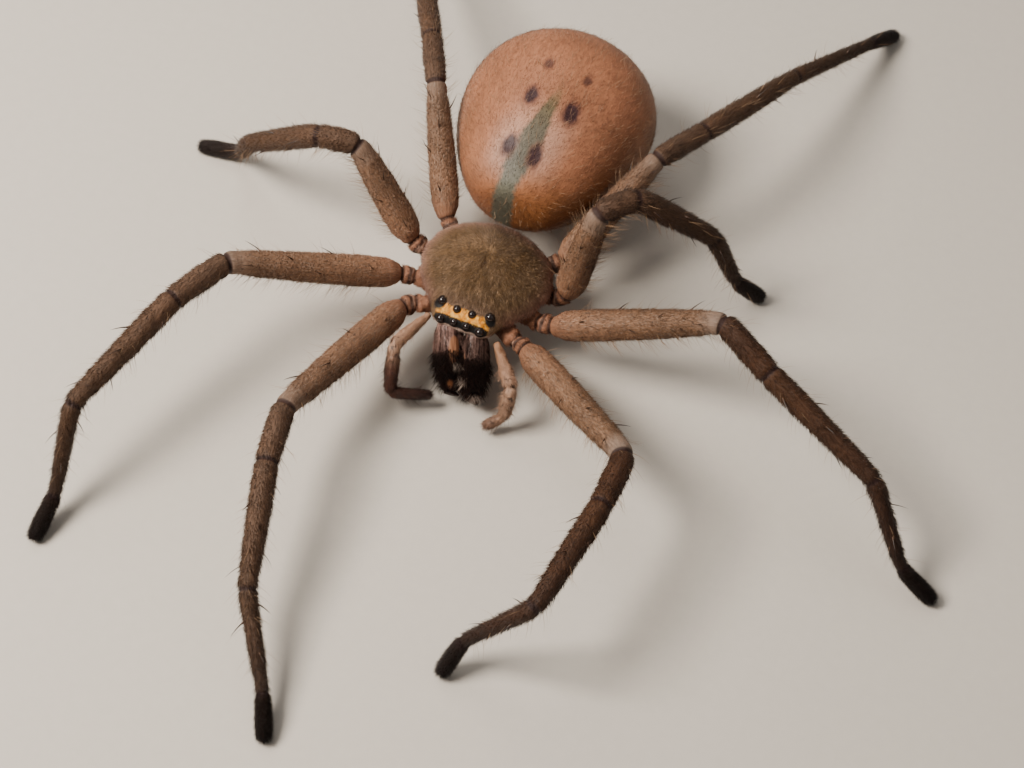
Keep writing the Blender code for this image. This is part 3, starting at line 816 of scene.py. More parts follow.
def mesh_scatter(thing, count, draw):
    """Random places and normals over a mesh, evenly by area."""
    mesh = thing.data
    mesh.calc_loop_triangles()
    corners = np.empty(len(mesh.loop_triangles) * 3, np.int32)
    mesh.loop_triangles.foreach_get("vertices", corners)
    corners = corners.reshape(-1, 3)
    places = vertex_places(thing)
    normals = vertex_normals(thing)
    a, b, c = (places[corners[:, k]] for k in range(3))
    area = np.linalg.norm(np.cross(b - a, c - a), axis=1)
    chosen = draw.choice(len(area), count, p=area / area.sum())
    s = np.sqrt(draw.random(count))
    t = draw.random(count)
    shares = np.stack((1 - s, s * (1 - t), s * t), axis=1)[:, :, None]
    picked = corners[chosen]
    return (places[picked] * shares).sum(axis=1), unit((normals[picked] * shares).sum(axis=1))


def lying(direction, normals):
    """Directions pressed flat against a surface."""
    return unit(direction - normals * (direction * normals).sum(axis=1, keepdims=True))


def wrap_patch(places, middle, length):
    """Where a place lies on an unwrap round the body's long axis."""
    off = places - np.array(middle)
    turn = np.arctan2(off[:, 0], off[:, 2]) / (2 * math.pi) + 0.5
    along = np.clip(off[:, 1] / length + 0.5, 0.0, 1.0)
    return np.stack((0.01 + 0.98 * turn, 0.01 + 0.98 * along), axis=1)


def chosen_roots(roots, keep):
    """Only the roots that a mask keeps."""
    return {name: rows[keep] for name, rows in roots.items()}


def grow(name, roots, draw, length, width, lift, bends=1, curl=0.0, spread=0.35, taper=0.75, sides=3):
    """Hairs as closed, tapered solids in one mesh, each rooted a little under the skin.

    length, width and lift (degrees off the skin) may be one number or one for
    each hair. bends is how many rings a hair has before its tip.
    """
    count = len(roots["place"])
    length = np.broadcast_to(length, count) * draw.uniform(0.65, 1.2, count)
    width = np.broadcast_to(width, count) * draw.uniform(0.75, 1.25, count)
    lift = np.radians(np.broadcast_to(lift, count) + draw.normal(0.0, 9.0, count))
    normal = roots["normal"]
    flat = lying(roots["lie"], normal)
    across = np.cross(normal, flat)
    flat = unit(flat + across * draw.normal(0.0, spread, count)[:, None])
    across = np.cross(normal, flat)
    first = flat * np.cos(lift)[:, None] + normal * np.sin(lift)[:, None]
    droop = lift - np.radians(curl)
    last = flat * np.cos(droop)[:, None] + normal * np.sin(droop)[:, None]
    layers = []
    spot = roots["place"] - normal * 0.04
    for ring in range(bends):
        share = ring / bends
        ahead = unit(first * (1 - share) + last * share)
        out = np.cross(across, ahead)
        girth = width / 2 * (1 - share) ** taper
        for corner in range(sides):
            angle = 2 * math.pi * corner / sides + math.pi / 2
            offset = across * math.cos(angle) + out * math.sin(angle)
            layers.append(spot + offset * girth[:, None])
        spot = spot + ahead * (length / bends)[:, None]
    layers.append(spot)
    per_hair = len(layers)
    tint = draw.random(count)
    block = np.stack(layers, axis=1)
    inside = ((block > ROOM_LOW) & (block < ROOM_HIGH)).all(axis=(1, 2))
    roots = chosen_roots(roots, inside)
    tint = tint[inside]
    verts = block[inside].reshape(-1, 3)
    count = len(tint)
    faces = list(reversed(range(sides)))
    corners_each = [sides]
    for ring in range(bends - 1):
        for corner in range(sides):
            after = (corner + 1) % sides
            low = ring * sides
            faces.extend((low + corner, low + after, low + sides + after, low + sides + corner))
            corners_each.append(4)
    low = (bends - 1) * sides
    for corner in range(sides):
        faces.extend((low + corner, low + (corner + 1) % sides, per_hair - 1))
        corners_each.append(3)
    corners = (np.arange(count)[:, None] * per_hair + np.array(faces)[None, :]).ravel()
    totals = np.tile(corners_each, count)
    mesh = bpy.data.meshes.new(name)
    mesh.vertices.add(len(verts))
    mesh.vertices.foreach_set("co", (verts * MM).astype(np.float32).ravel())
    mesh.loops.add(len(corners))
    mesh.loops.foreach_set("vertex_index", corners.astype(np.int32))
    mesh.polygons.add(len(totals))
    starts = np.concatenate(([0], np.cumsum(totals)[:-1]))
    mesh.polygons.foreach_set("loop_start", starts.astype(np.int32))
    mesh.update(calc_edges=True)
    mesh.shade_smooth()
    thing = bpy.data.objects.new(name, mesh)
    bpy.context.scene.collection.objects.link(thing)
    for key in ("stage", "seam", "grain", "spot"):
        if key in roots:
            store(thing, key, np.repeat(roots[key], per_hair, axis=0))
    store(thing, "tint", np.repeat(tint, per_hair))
    height = np.array([ring / bends for ring in range(bends) for _ in range(sides)] + [1.0])
    store(thing, "tip", np.tile(height, count))
    around = np.array([corner / sides for _ in range(bends) for corner in range(sides)] + [0.5])
    patch = np.repeat(roots["patch"], per_hair, axis=0)
    patch[:, 0] += np.tile((around - 0.5) * 0.003, count)
    patch[:, 1] += np.tile((height - 0.5) * 0.003, count)
    layer = mesh.uv_layers.new(name="OFBake")
    layer.data.foreach_set("uv", patch[corners].astype(np.float32).ravel())
    return thing


def sizes():
    return bpy.context.scene.spider_sizes


def colours():
    return bpy.context.scene.spider_colours


def fewer(count):
    """The number of hairs, as given."""
    return count


def leg_joints(side, number):
    """A leg's joints in the frame, from under the carapace to the foot's tip."""
    sign = SIDES[side]
    root = LEG_ROOTS[number]
    hip = LEG_HIPS[number]
    joints = [on_body(root[0] * sign, root[1], root[2]), Vector((hip[0] * sign, hip[1], hip[2]))]
    lengths = LEG_LENGTHS[number]
    rises = [math.radians(rise) for rise in LEG_RISES[(side, number)]]
    for step, heading in enumerate(LEG_HEADINGS[(side, number)]):
        foot = step == len(lengths) - 1
        rise = math.asin((FOOT_HEIGHT - joints[-1].z) / lengths[step]) if foot else rises[step]
        turn = math.radians(heading)
        flat = math.cos(rise)
        ahead = Vector((math.cos(turn) * flat, math.sin(turn) * flat, math.sin(rise)))
        joints.append(joints[-1] + ahead * lengths[step])
    return [placed(joint) for joint in joints]


def make_leg_limb(side, number):
    """A leg's centre line and girth, with its rings, joints and rounded foot."""
    limb = Limb(leg_joints(side, number), LEG_STATIONS, LEG_BENDS, LEG_REACH, PAIR_GIRTH[number])
    limb.radius -= sizes().coat_depth
    hip, knee, *joints = limb.joint_runs
    limb.groove(hip, *HIP_RINGS)
    limb.groove(knee, KNEE_RING, *JOINT_SWELLS)
    for joint in joints:
        limb.groove(joint, JOINT_RING, *JOINT_SWELLS)
    limb.round_tip(0.5)
    limb.keep_over_floor()
    limb.fold = np.interp(limb.stage, *zip(*LEG_FOLDS))
    limb.phase = 1.3 * number + 0.7 * SIDES[side]
    return limb


def leg_colour(paint):
    """The legs' colours by segment: pale to the knee, darker to the foot, with painted light and painted
    shade.
    """
    stage = paint.attribute("stage")
    seam = paint.attribute("seam")
    grain = paint.place("grain")
    spot = paint.place("spot")
    x, y, _ = paint.axes(spot)
    behind = y - x * 0.5
    # Painted light: the animal's right legs and the rear legs take the lit colours; the rest keep the
    # colours painted as in shade.
    lit = paint.math("MAXIMUM", paint.step(x, 8.0, -10.0), paint.step(behind, -1.0, 5.0))
    dim = paint.ramp(stage / 6.0, SHADED_LEG_RAMP)
    base = paint.mix(lit * 0.85, dim, paint.ramp(stage / 6.0, LIT_LEG_RAMP))
    # Painted light: the patella and tibia of the left rear legs made paler, as where light falls on them.
    knee = paint.step(stage, 2.0, 2.02) * paint.step(stage, 3.5, 2.6) * paint.step(behind, -1.0, 2.0)
    base = paint.mix(knee * paint.step(x, 6.0, 9.0) * 0.75, base, LEG_MARKS["knee"])
    streak = paint.streaks(grain, (3.4, 3.4, 0.4), 1.9, 4.0, 0.65)
    blotch = paint.noise(spot, 0.4)
    fine = paint.streaks(grain, (7.0, 7.0, 0.9), 2.2, 3.0, 0.7)
    marked = paint.shade(base, streak * 1.1 + blotch * 0.8 + fine * 1.3 - 0.6)
    on_femur = paint.step(stage, 1.0, 1.15) * paint.step(stage, 2.0, 1.98)
    fleck = paint.step(paint.streaks(grain, (5.0, 5.0, 1.0), 2.6), 0.54, 0.68) * on_femur
    marked = paint.mix(fleck * 0.55, marked, LEG_MARKS["fleck"])
    vein = paint.step(paint.streaks(grain, (4.4, 4.4, 0.6), 2.1), 0.44, 0.34) * on_femur
    marked = paint.mix(vein * 0.5, marked, LEG_MARKS["vein"])
    dots = paint.step(paint.noise(spot, 2.3, 1.0), 0.69, 0.74) * paint.step(stage, 1.0, 1.1)
    marked = paint.mix(dots * 0.75, marked, LEG_MARKS["dot"])
    bare = paint.step(seam, 2.6, 0.9) * paint.step(stage, 1.8, 1.82) * paint.step(stage, 2.0, 1.99)
    # The bare band is marked less where the painted light falls.
    marked = paint.mix(bare * (0.38 - lit * 0.2), marked, LEG_MARKS["bare"])
    line = paint.step(seam, 0.32, 0.12) * paint.step(stage, 1.3, 1.6)
    marked = paint.mix(line * 0.9, marked, LEG_MARKS["line"])
    before_hip = paint.step(stage, 1.0, 0.99)
    off_fold = seam - HIP_FOLD + (paint.noise(spot, 0.9, 2.0) - 0.5) * 0.9
    fold = paint.step(paint.math("ABSOLUTE", off_fold), 0.3, 0.06) * before_hip
    neck = paint.step(paint.math("ABSOLUTE", seam - FEMUR_NECK), 0.3, 0.1) * paint.step(stage, 1.2, 1.15)
    # Painted highlight: a pale line beside the hip's fold, as light catching its edge.
    fold_highlight = paint.step(paint.math("ABSOLUTE", off_fold + 0.45), 0.22, 0.05) * before_hip
    marked = paint.mix(fold_highlight * 0.5, marked, LEG_MARKS["fold_highlight"])
    return paint.mix((fold + neck) * 0.88, marked, LEG_MARKS["crease"]), streak


def shield_colour(paint):
    """Grey-brown felt with a pale rim, the cream eye band and the black round the eyes."""
    spot = paint.place("spot")
    x, y, z = paint.axes(spot)
    cloud = paint.step(paint.noise(spot, 0.5, 4.0), 0.3, 0.7)
    fine = paint.streaks(spot, (1.0, 0.35, 1.0), 3.2)
    clouded = paint.mix(cloud, colours().shield, SHIELD_MARKS["cloud"])
    marked = paint.shade(clouded, 0.3 + fine * 1.4)
    wide = paint.math("ABSOLUTE", x)
    rim = paint.step(z, 1.55, 0.25) * paint.step(y, -5.0, -3.5)
    marked = paint.mix(rim * 0.8, marked, colours().shield_rim)
    long_pit = (FOVEA[0] * 2.4, FOVEA[1] * 0.9, 0.0)
    pit = paint.near(paint.scaled(spot, (2.4, 0.9, 0.0)), long_pit, 0.15, 0.55)
    marked = paint.mix(pit * 0.7, marked, SHIELD_MARKS["pit"])
    dusk = paint.step(y, -2.6, -4.6) * paint.step(wide, 3.4, 2.2)
    marked = paint.mix(dusk * 0.35, marked, SHIELD_MARKS["dusk"])
    edge = (paint.noise(spot, 2.6, 3.0, 0.65) - 0.5) * 0.7
    scallop = paint.math("COSINE", wide * 3.6) * 0.16
    low = paint.step(y + wide * 0.05 + edge * 0.7 - scallop, -4.62, -4.76)
    patches = paint.step(paint.noise(spot, 2.6, 2.0), 0.42, 0.7)
    cream = paint.mix(patches, colours().eye_band, SHIELD_MARKS["cream"])
    marked = paint.mix(low * paint.step(wide, 2.85, 2.6), marked, cream)
    ink = SHIELD_MARKS["ink"]
    black = paint.step(y + edge * 0.3 - wide * 0.03, -5.56, -5.68) * paint.step(wide, 2.9, 2.65)
    marked = paint.mix(black, marked, ink)
    for sign in SIDES.values():
        for (ex, ey, ez), radius in EYES.values():
            ring = paint.near(spot, (ex * sign, ey, ez), radius + 0.02, radius + 0.1)
            marked = paint.mix(ring, marked, ink)
        corner = paint.near(spot, (2.6 * sign, -4.72, 0.95), 0.42, 0.72)
        marked = paint.mix(corner, marked, ink)
    chin = paint.step(z, 0.3, 0.16) * paint.step(y, -5.3, -5.6)
    marked = paint.mix(chin, marked, SHIELD_MARKS["chin"])
    under = paint.step(z, -0.45, -0.8)
    return paint.mix(under, marked, SHIELD_MARKS["under"]), fine


def abdomen_colour(paint):
    """Pinkish tan, orange-brown at the flanks, with the heart's stripe and dark spots; one side lighter by
    painted light, and a painted highlight by the stripe.
    """
    spot = paint.place("spot")
    x, y, z = paint.axes(spot)
    cloud = paint.noise(spot, 0.22, 4.0)
    fine = paint.streaks(spot, (1.0, 0.3, 1.0), 2.6)
    flank = paint.step(z + (cloud - 0.5) * 5.0, 14.6, 8.5)
    # Painted light: the abdomen's side where x is below nought takes lighter flank and front colours, as
    # lit; the other side keeps darker ones, as in shade.
    lit = paint.step(x, 3.0, -5.0)
    side = paint.mix(lit * 0.75, colours().abdomen_side, ABDOMEN_MARKS["lit_side"])
    base = paint.mix(flank, colours().abdomen_top, side)
    front = paint.step(y + (cloud - 0.5) * 3.0, 10.5, 6.5)
    ahead = paint.mix(lit, ABDOMEN_MARKS["front"], ABDOMEN_MARKS["lit_front"])
    marked = paint.shade(paint.mix(front * 0.6, base, ahead), 0.3 + fine * 0.6 + cloud * 0.8)
    wobble = (paint.noise(spot, 1.0, 4.0, 0.7) - 0.5) * 2.0
    waist = 1.25 - paint.step(y, 5.0, 8.0) * 0.35 + paint.step(y, 7.5, 10.0) * 0.45
    narrow = waist * (1 - paint.step(y, 10.0, 17.5) * 0.72)
    away = paint.math("ABSOLUTE", x + 0.25 - (y - 13.0) * 0.13 + wobble * 0.35)
    inside = paint.step(away - narrow + (fine - 0.5) * 0.7, 0.35, -0.25)
    length = paint.step(y + wobble, 18.8, 15.6)
    # Painted highlight: a pale satin sheen on each side of the stripe.
    painted_sheen = paint.step(away, 4.6, 1.6) * paint.step(y, 7.5, 10.5) * paint.step(y, 17.5, 12.0)
    marked = paint.mix(painted_sheen * 0.45, marked, ABDOMEN_MARKS["painted_sheen"])
    stripe = inside * length * paint.step(z, 5.0, 6.5)
    green = paint.shade(paint.ramp((y - 6.0) / 12.0, STRIPE_RAMP), 0.35 + fine * 0.75 + cloud * 0.55)
    marked = paint.mix(stripe * 0.9, marked, green)
    drift = paint.node("ShaderNodeTexNoise", (), {"Vector": spot, "Scale": 1.3}, 1)
    terms = {0: paint.scaled(spot, (1.05, 0.68, 0.0)), 1: paint.scaled(drift, (0.65, 0.65, 0.0))}
    ragged = paint.node("ShaderNodeVectorMath", {"operation": "ADD"}, terms)
    for sx, sy, size, strength in SIGILLA:
        middle = (sx * 1.05 + 0.32, sy * 0.68 + 0.32, 0.0)
        above = paint.step(z, 9.0, 10.0) * strength
        halo = paint.near(ragged, middle, size * 0.7, size * 1.3)
        marked = paint.mix(halo * above * 0.45, marked, ABDOMEN_MARKS["halo"])
        mark = paint.near(ragged, middle, size * 0.4, size)
        marked = paint.mix(mark * above, marked, colours().sigilla)
    return marked, fine


def jaw_colour(paint, side):
    """Dark red-brown below, streaked grey above, with a bald orange strip inside."""
    stage = paint.attribute("stage")
    grain = paint.place("grain")
    streak = paint.streaks(grain, (3.0, 3.0, 0.22), 2.4)
    upper = paint.step(stage + (streak - 0.5) * 0.35, 0.52, 0.36)
    dark = paint.ramp(streak, ((0.3, JAW_MARKS["black"]), (0.7, colours().jaw)))
    coat = paint.ramp(streak, ((0.42, JAW_MARKS["gap"]), (0.6, colours().jaw_coat)))
    # The grey coat is darkened or lightened by side: painted shade on the left jaw, painted light on the
    # right.
    marked = paint.mix(upper * 0.95, dark, paint.shade(coat, JAW_PAINTED_LIGHT[side]))
    ridge = paint.step(paint.axes(grain)[0], -0.3, 0.1)
    squeezed = paint.scaled(grain, (0.0, 1.0, BALD_SQUEEZE))
    bald = paint.near(squeezed, (0.0, BALD_PLACE[side], 1.0), 0.44, 0.56) * ridge
    horn = paint.ramp(streak, ((0.3, JAW_MARKS["horn_low"]), (0.7, JAW_MARKS["horn"])))
    marked = paint.mix(bald, marked, horn)
    across = paint.scaled(grain, (0.0, 1.0, 1.0))
    ember = paint.near(across, (0.0, EMBER_PLACE[side], 6.0), 0.25, 0.7) * ridge
    return paint.mix(ember * 0.85, marked, JAW_MARKS["ember"]), streak


def palp_colour(paint, side):
    """The palps: pale and dotted, with the animal's right one dark to its tip."""
    stage = paint.attribute("stage")
    streak = paint.streaks(paint.place("grain"), (3.0, 3.0, 0.3), 2.0)
    toned = paint.shade(paint.ramp(stage / 3.0, PALP_RAMPS[side]), 0.65 + streak * 0.7)
    dots = paint.step(paint.noise(paint.place("spot"), 2.3, 1.0), 0.57, 0.62)
    return paint.mix(dots * paint.step(stage, 0.7, 0.9) * 0.85, toned, (0.05, 0.025, 0.02)), streak


def skin_paint(name, colouring, roughness, specular, strength, depth):
    """A skin's material: its colours over a fine grain, raised by a depth in mm."""
    paint = Paint(name, roughness, specular)
    colour, grain = colouring(paint)
    paint.colour(colour)
    paint.bump(grain, strength, depth)
    return paint


def coat_paint(name, colouring, roughness, specular, sheen=0.0, low=0.72, high=1.35):
    """A coat's material: the skin's colours, varied hair by hair and paler to the tips."""
    paint = Paint(name, roughness, specular, sheen)
    colour, _ = colouring(paint)
    tone = low + (high - low) * paint.attribute("tint") + paint.attribute("tip") * 0.18
    paint.colour(paint.shade(colour, tone))
    return paint


def hair_paint(name, roughness, specular, dark, pale):
    """Hairs of colours between two."""
    paint = Paint(name, roughness, specular)
    paint.colour(paint.mix(paint.attribute("tint"), dark, pale))
    return paint


def long_hair_paint():
    pale = colours().hair
    return hair_paint("long_hair", 0.45, 0.5, tuple(channel * 0.6 for channel in pale), pale)


def spine_paint():
    """Dark spines with brown roots."""
    paint = Paint("spines", 0.35, 0.5)
    root = paint.step(paint.attribute("tip"), 0.0, 0.3)
    paint.colour(paint.mix(root, (0.16, 0.09, 0.06), colours().spine))
    return paint


def plain_paint(name, colour, roughness, depth=0.08):
    """Cuticle with a mottled tone and a fine grain."""
    paint = Paint(name, roughness, 0.45)
    place = paint.object_place()
    fine = paint.noise(place, 4000.0)
    paint.colour(paint.shade(colour, 0.6 + paint.noise(place, 700.0) * 0.5 + fine * 0.3))
    paint.bump(fine, 0.4, depth)
    return paint


class SpiderCarapace(bpy.types.Operator):
    """Build the carapace with its grooves, and the seats that the eyes stand in"""

    bl_idname = "spider.carapace"
    bl_label = "Carapace"

    def execute(self, context):
        seats = []
        for sign in SIDES.values():
            for (x, y, z), radius in EYES.values():
                seats.append((placed(on_body(x * sign, y + 0.12, z - 0.22)), radius + 0.2))
        thing = soft_copy("carapace_skin", ["carapace"], 0.11, 6, sizes().coat_depth, seats)
        places = vertex_places(thing)
        normals = vertex_normals(thing)
        body = to_body(places)
        x, y, z = body.T
        over = (z > 0.2).astype(float)
        pit = ((x - FOVEA[0]) / FOVEA_HALF[0]) ** 2 + ((y - FOVEA[1]) / FOVEA_HALF[1]) ** 2
        depth = FOVEA_DEPTH * np.exp(-pit)
        for sign in SIDES.values():
            start, end = (np.array((end_x * sign, end_y)) for end_x, end_y in HEAD_FURROW)
            line = end - start
            share = np.clip(((x - start[0]) * line[0] + (y - start[1]) * line[1]) / (line @ line), 0, 1)
            off = np.hypot(x - start[0] - share * line[0], y - start[1] - share * line[1])
            depth += FURROW_DEPTH * np.exp(-((off / FURROW_WIDTH) ** 2)) * (1 - 0.4 * share)
        angle = np.arctan2(x, y - FOVEA[1])
        reach = np.hypot(x, y - FOVEA[1])
        ray = np.cos(angle * RAY_COUNT) ** 8
        depth += RAY_DEPTH * ray * np.clip(reach / 2 - 0.4, 0, 1) * (y > -3.2)
        move_vertices(thing, places - normals * (depth * over)[:, None])
        store(thing, "spot", to_body(vertex_places(thing)))
        paint = skin_paint("shield_skin", shield_colour, 0.6, 0.25, 0.5, 0.15)
        hand_in(thing, paint, ["carapace"])
        return {"FINISHED"}


class SpiderEyes(bpy.types.Operator):
    """Build the eight round eyes"""

    bl_idname = "spider.eyes"
    bl_label = "Eyes"

    def execute(self, context):
        paint = Paint("eye_lens", 0.06, 0.6)
        haze = paint.noise(paint.object_place(), 3000.0, 2.0)
        paint.colour(paint.mix(haze, colours().eye, (0.02, 0.010, 0.008)))
        for side, sign in SIDES.items():
            for row, ((x, y, z), radius) in EYES.items():
                middle = placed(on_body(x * sign, y, z)) * MM
                ball = {"segments": 32, "ring_count": 20, "radius": radius * MM, "location": middle}
                deselect()
                bpy.ops.mesh.primitive_uv_sphere_add(**ball)
                thing = context.object
                thing.name = f"lens_{row}_{side}"
                bpy.ops.object.transform_apply(location=True, rotation=True, scale=True)
                thing.data.shade_smooth()
                hand_in(thing, paint, [f"eye_{row}_{side}"])
        return {"FINISHED"}


class SpiderJaws(bpy.types.Operator):
    """Build both jaws and their folded fangs"""

    bl_idname = "spider.jaws"
    bl_label = "Jaws and fangs"

    def execute(self, context):
        horn = plain_paint("fang_horn", colours().fang, 0.14, 0.02)
        paints = {
            "fringe": hair_paint("jaw_fringe", 0.5, 0.15, JAW_MARKS["black"], JAW_MARKS["fringe"]),
            "tuft": hair_paint("jaw_tuft", 0.5, 0.4, JAW_MARKS["tuft_low"], JAW_MARKS["tuft"]),
        }
        for side, sign in SIDES.items():
            root = on_body(JAW_ROOT[0] * sign, JAW_ROOT[1], JAW_ROOT[2])
            tip = Vector((JAW_TIP[0] * sign + JAW_LEAN, JAW_TIP[1], JAW_TIP[2]))
            limb = Limb([placed(root), placed(tip)], (JAW_RADII,), (1.1, 0.65), 0.0)
            limb.radius -= sizes().coat_depth
            limb.round_tip(0.8)
            limb.side *= -sign
            thing = limb.skin(f"jaw_{side}")
            self.part(thing, sign)
            colouring = partial(jaw_colour, side=side)
            paint = skin_paint(f"jaw_skin_{side}", colouring, 0.4, 0.3, 0.4, 0.1)
            hand_in(thing, paint, [f"chelicera_{side}"])
            paints["coat"] = coat_paint(f"jaw_coat_{side}", colouring, 0.55, 0.18, 0.0, 0.6, 1.5)
            self.hair(limb, side, np.random.default_rng(40 + sign), paints)
            self.make_fang(side, sign, root, tip, horn)
        return {"FINISHED"}

    @staticmethod
    def part(thing, sign):
        """Press a jaw's inner side back from the gap between both jaws."""
        start = placed(on_body(0.0, JAW_ROOT[1], JAW_ROOT[2]))
        outward = -np.array((JAW_TIP[1] - JAW_ROOT[1], -JAW_LEAN, 0.0)) * sign
        outward /= np.linalg.norm(outward)
        places = vertex_places(thing)
        room = (places - np.array(start)) @ outward - JAW_GAP / 2
        pressed = JAW_PRESS * np.exp(np.clip(room / JAW_PRESS - 1, -3.0, 0.0))
        pushed = np.where(room < JAW_PRESS, pressed, room)
        move_vertices(thing, places + (pushed - room)[:, None] * outward)

    @staticmethod
    def hair(limb, side, draw, paints):
        """A jaw's coat, its long fringe and its whitish tufts, clear of the bare places."""
        roots = limb.scatter(fewer(HAIR_COUNTS["jaw_coat"]), draw, 0.04, 0.97)
        facing, across, along = roots["grain"].T
        bald = np.hypot(across - BALD_PLACE[side], (along - 2.6) * BALD_SQUEEZE) < 0.62
        bald |= np.hypot(across - EMBER_PLACE[side], along - 5.9) < 0.5
        roots = chosen_roots(roots, ~(bald & (facing > -0.2)))
        piece = grow(f"coat_jaw_{side}", roots, draw, **HAIRS["jaw_coat"])
        hand_in(piece, paints["coat"])
        roots = limb.scatter(fewer(HAIR_COUNTS["jaw_fringe"]), draw, 0.4, 0.98)
        facing, across, along = roots["grain"].T
        ember = np.hypot(across - EMBER_PLACE[side], along - 5.3) < 0.75
        roots = chosen_roots(roots, ~(ember & (facing > -0.2)))
        piece = grow(f"fringe_jaw_{side}", roots, draw, **HAIRS["jaw_fringe"])
        hand_in(piece, paints["fringe"])
        for number, (low, high, face, count) in enumerate(JAW_TUFTS[side]):
            roots = limb.scatter(fewer(count), draw, low, high, face, 22.0)
            piece = grow(f"tuft_{number}_jaw_{side}", roots, draw, **HAIRS["jaw_tuft"])
            hand_in(piece, paints["tuft"])

    @staticmethod
    def make_fang(side, sign, root, tip, horn):
        """A fang folded across under its jaw's tip."""
        along = (tip - root).normalized()
        across = Vector((-sign, 0.0, 0.0))
        under = along.cross(Vector((1.0, 0.0, 0.0))).normalized()
        if under.z > 0:
            under = -under
        start = tip + along * FANG_CLEAR - across * 0.55
        steps = 14
        line = []
        for step in range(steps + 1):
            share = step / steps
            sag = under * FANG_SAG * math.sin(share * math.pi / 2)
            line.append(placed(start + across * FANG_REACH * share + sag))
        limb = Limb(line, (((0.0, 0.3),),) * steps, (0.3,) * (steps + 1), 0.0)
        share = limb.run / limb.run[-1]
        limb.radius = np.interp(share, np.linspace(0, 1, len(FANG_RADII)), FANG_RADII)
        limb.round_tip(0.15)
        thing = limb.skin(f"fang_{side}_horn", 6)
        hand_in(thing, horn, [f"fang_{side}"])


class SpiderPalps(bpy.types.Operator):
    """Build both palps with their coat"""

    bl_idname = "spider.palps"
    bl_label = "Palps"

    def execute(self, context):
        for side, sign in SIDES.items():
            joints = [placed(place) for place in PALP_JOINTS[side]]
            limb = Limb(joints, PALP_STATIONS, PALP_BENDS, PALP_REACH)
            limb.radius -= sizes().coat_depth * 0.6
            for joint in limb.joint_runs:
                limb.groove(joint, *PALP_RINGS)
            limb.groove(limb.joint_runs[0], PALP_NECK_RING)
            limb.round_tip(0.5)
            limb.keep_over_floor()
            limb.fold[:] = PALP_FOLD
            colouring = partial(palp_colour, side=side)
            skin = skin_paint(f"palp_skin_{side}", colouring, 0.5, 0.4, 0.4, 0.1)
            coat = coat_paint(f"palp_coat_{side}", colouring, 0.55, 0.35)
            thing = limb.skin(f"palp_{side}", 6)
            hand_in(thing, skin, [f"palp_{side}_{kind}" for kind in ("femur", "tibia", "tarsus")])
            draw = np.random.default_rng(50 + sign)
            for kind, low in (("coat", 0.1), ("hair", 0.5)):
                roots = limb.scatter(fewer(HAIR_COUNTS[f"palp_{kind}"]), draw, low, 3.0)
                piece = grow(f"{kind}_palp_{side}", roots, draw, **HAIRS[f"palp_{kind}"])
                hand_in(piece, coat)
        return {"FINISHED"}


class SpiderLegs(bpy.types.Operator):
    """Build the eight legs, each one skin from under the carapace to the foot"""

    bl_idname = "spider.legs"
    bl_label = "Legs"

    def execute(self, context):
        skin = skin_paint("leg_skin", leg_colour, 0.6, 0.3, 0.7, 0.15)
        coat = coat_paint("leg_coat", leg_colour, 0.55, 0.25, 0.06)
        hair = long_hair_paint()
        spine = spine_paint()
        for side, sign in SIDES.items():
            for number in LEG_LENGTHS:
                limb = make_leg_limb(side, number)
                name = f"leg_{side}_{number}"
                thing = limb.skin(name)
                hand_in(thing, skin, [f"{name}_{kind}" for kind in LEG_KINDS])
                draw = np.random.default_rng(100 + number * 10 + sign)
                self.coat(limb, name, draw, coat)
                self.long_hair(limb, name, draw, hair)
                self.spines(limb, name, sign, draw, spine)
        return {"FINISHED"}

    @staticmethod
    def coat(limb, name, draw, paint):
        """Short velvet over the whole leg, longer and denser towards the foot."""
        roots = limb.scatter(fewer(sizes().leg_hairs), draw, 0.3, 6.0)
        stage = roots["stage"]
        length = sizes().velvet * np.interp(stage, (0, 1, 2, 4, 5, 6), (0.6, 0.75, 0.95, 1.1, 1.1, 1.0))
        lift = np.interp(stage, (0, 1, 3, 5, 6), (24, 26, 32, 34, 36))
        clear = roots["place"][:, 2] + roots["normal"][:, 2] * 0.2 > 0.12
        bare = (stage > 1.8) & (stage < 2.0) & (draw.random(len(stage)) > (roots["seam"] - 0.6) / 1.8)
        clear &= ~bare
        kept = chosen_roots(roots, clear)
        piece = grow(f"coat_{name}", kept, draw, length[clear], lift=lift[clear], **HAIRS["leg_coat"])
        hand_in(piece, paint)
        pad = limb.scatter(fewer(HAIR_COUNTS["foot_pad"]), draw, 5.0, 6.0)
        pad = chosen_roots(pad, pad["place"][:, 2] + pad["normal"][:, 2] * 0.3 > 0.16)
        piece = grow(f"pad_{name}", pad, draw, **HAIRS["foot_pad"])
        hand_in(piece, paint)

    @staticmethod
    def long_hair(limb, name, draw, paint):
        """Fine pale hairs, most of them under the leg."""
        under = limb.scatter(fewer(HAIR_COUNTS["under_leg"]), draw, 1.1, 5.2, 180.0, 85.0)
        femur = limb.scatter(fewer(HAIR_COUNTS["under_femur"]), draw, 1.15, 1.95, 180.0, 95.0)
        sides = limb.scatter(fewer(HAIR_COUNTS["round_leg"]), draw, 1.1, 5.6)
        roots = {key: np.concatenate((under[key], femur[key], sides[key])) for key in under}
        roots = chosen_roots(roots, roots["place"][:, 2] > 2.6)
        piece = grow(f"hair_{name}", roots, draw, sizes().long_hair, **HAIRS["leg_hair"])
        hand_in(piece, paint)

    @staticmethod
    def spines(limb, name, sign, draw, paint):
        """Short stout spines at their places on femur, tibia and metatarsus."""
        stages = np.array([segment + share for segment, share, _ in SPINES])
        angles = np.radians([angle for _, _, angle in SPINES]) * sign
        spots = np.interp(stages, limb.stage, np.arange(len(limb.stage)))
        roots = limb.at(spots, angles)
        piece = grow(f"spines_{name}", roots, draw, sizes().spine, **HAIRS["spine"])
        hand_in(piece, paint)


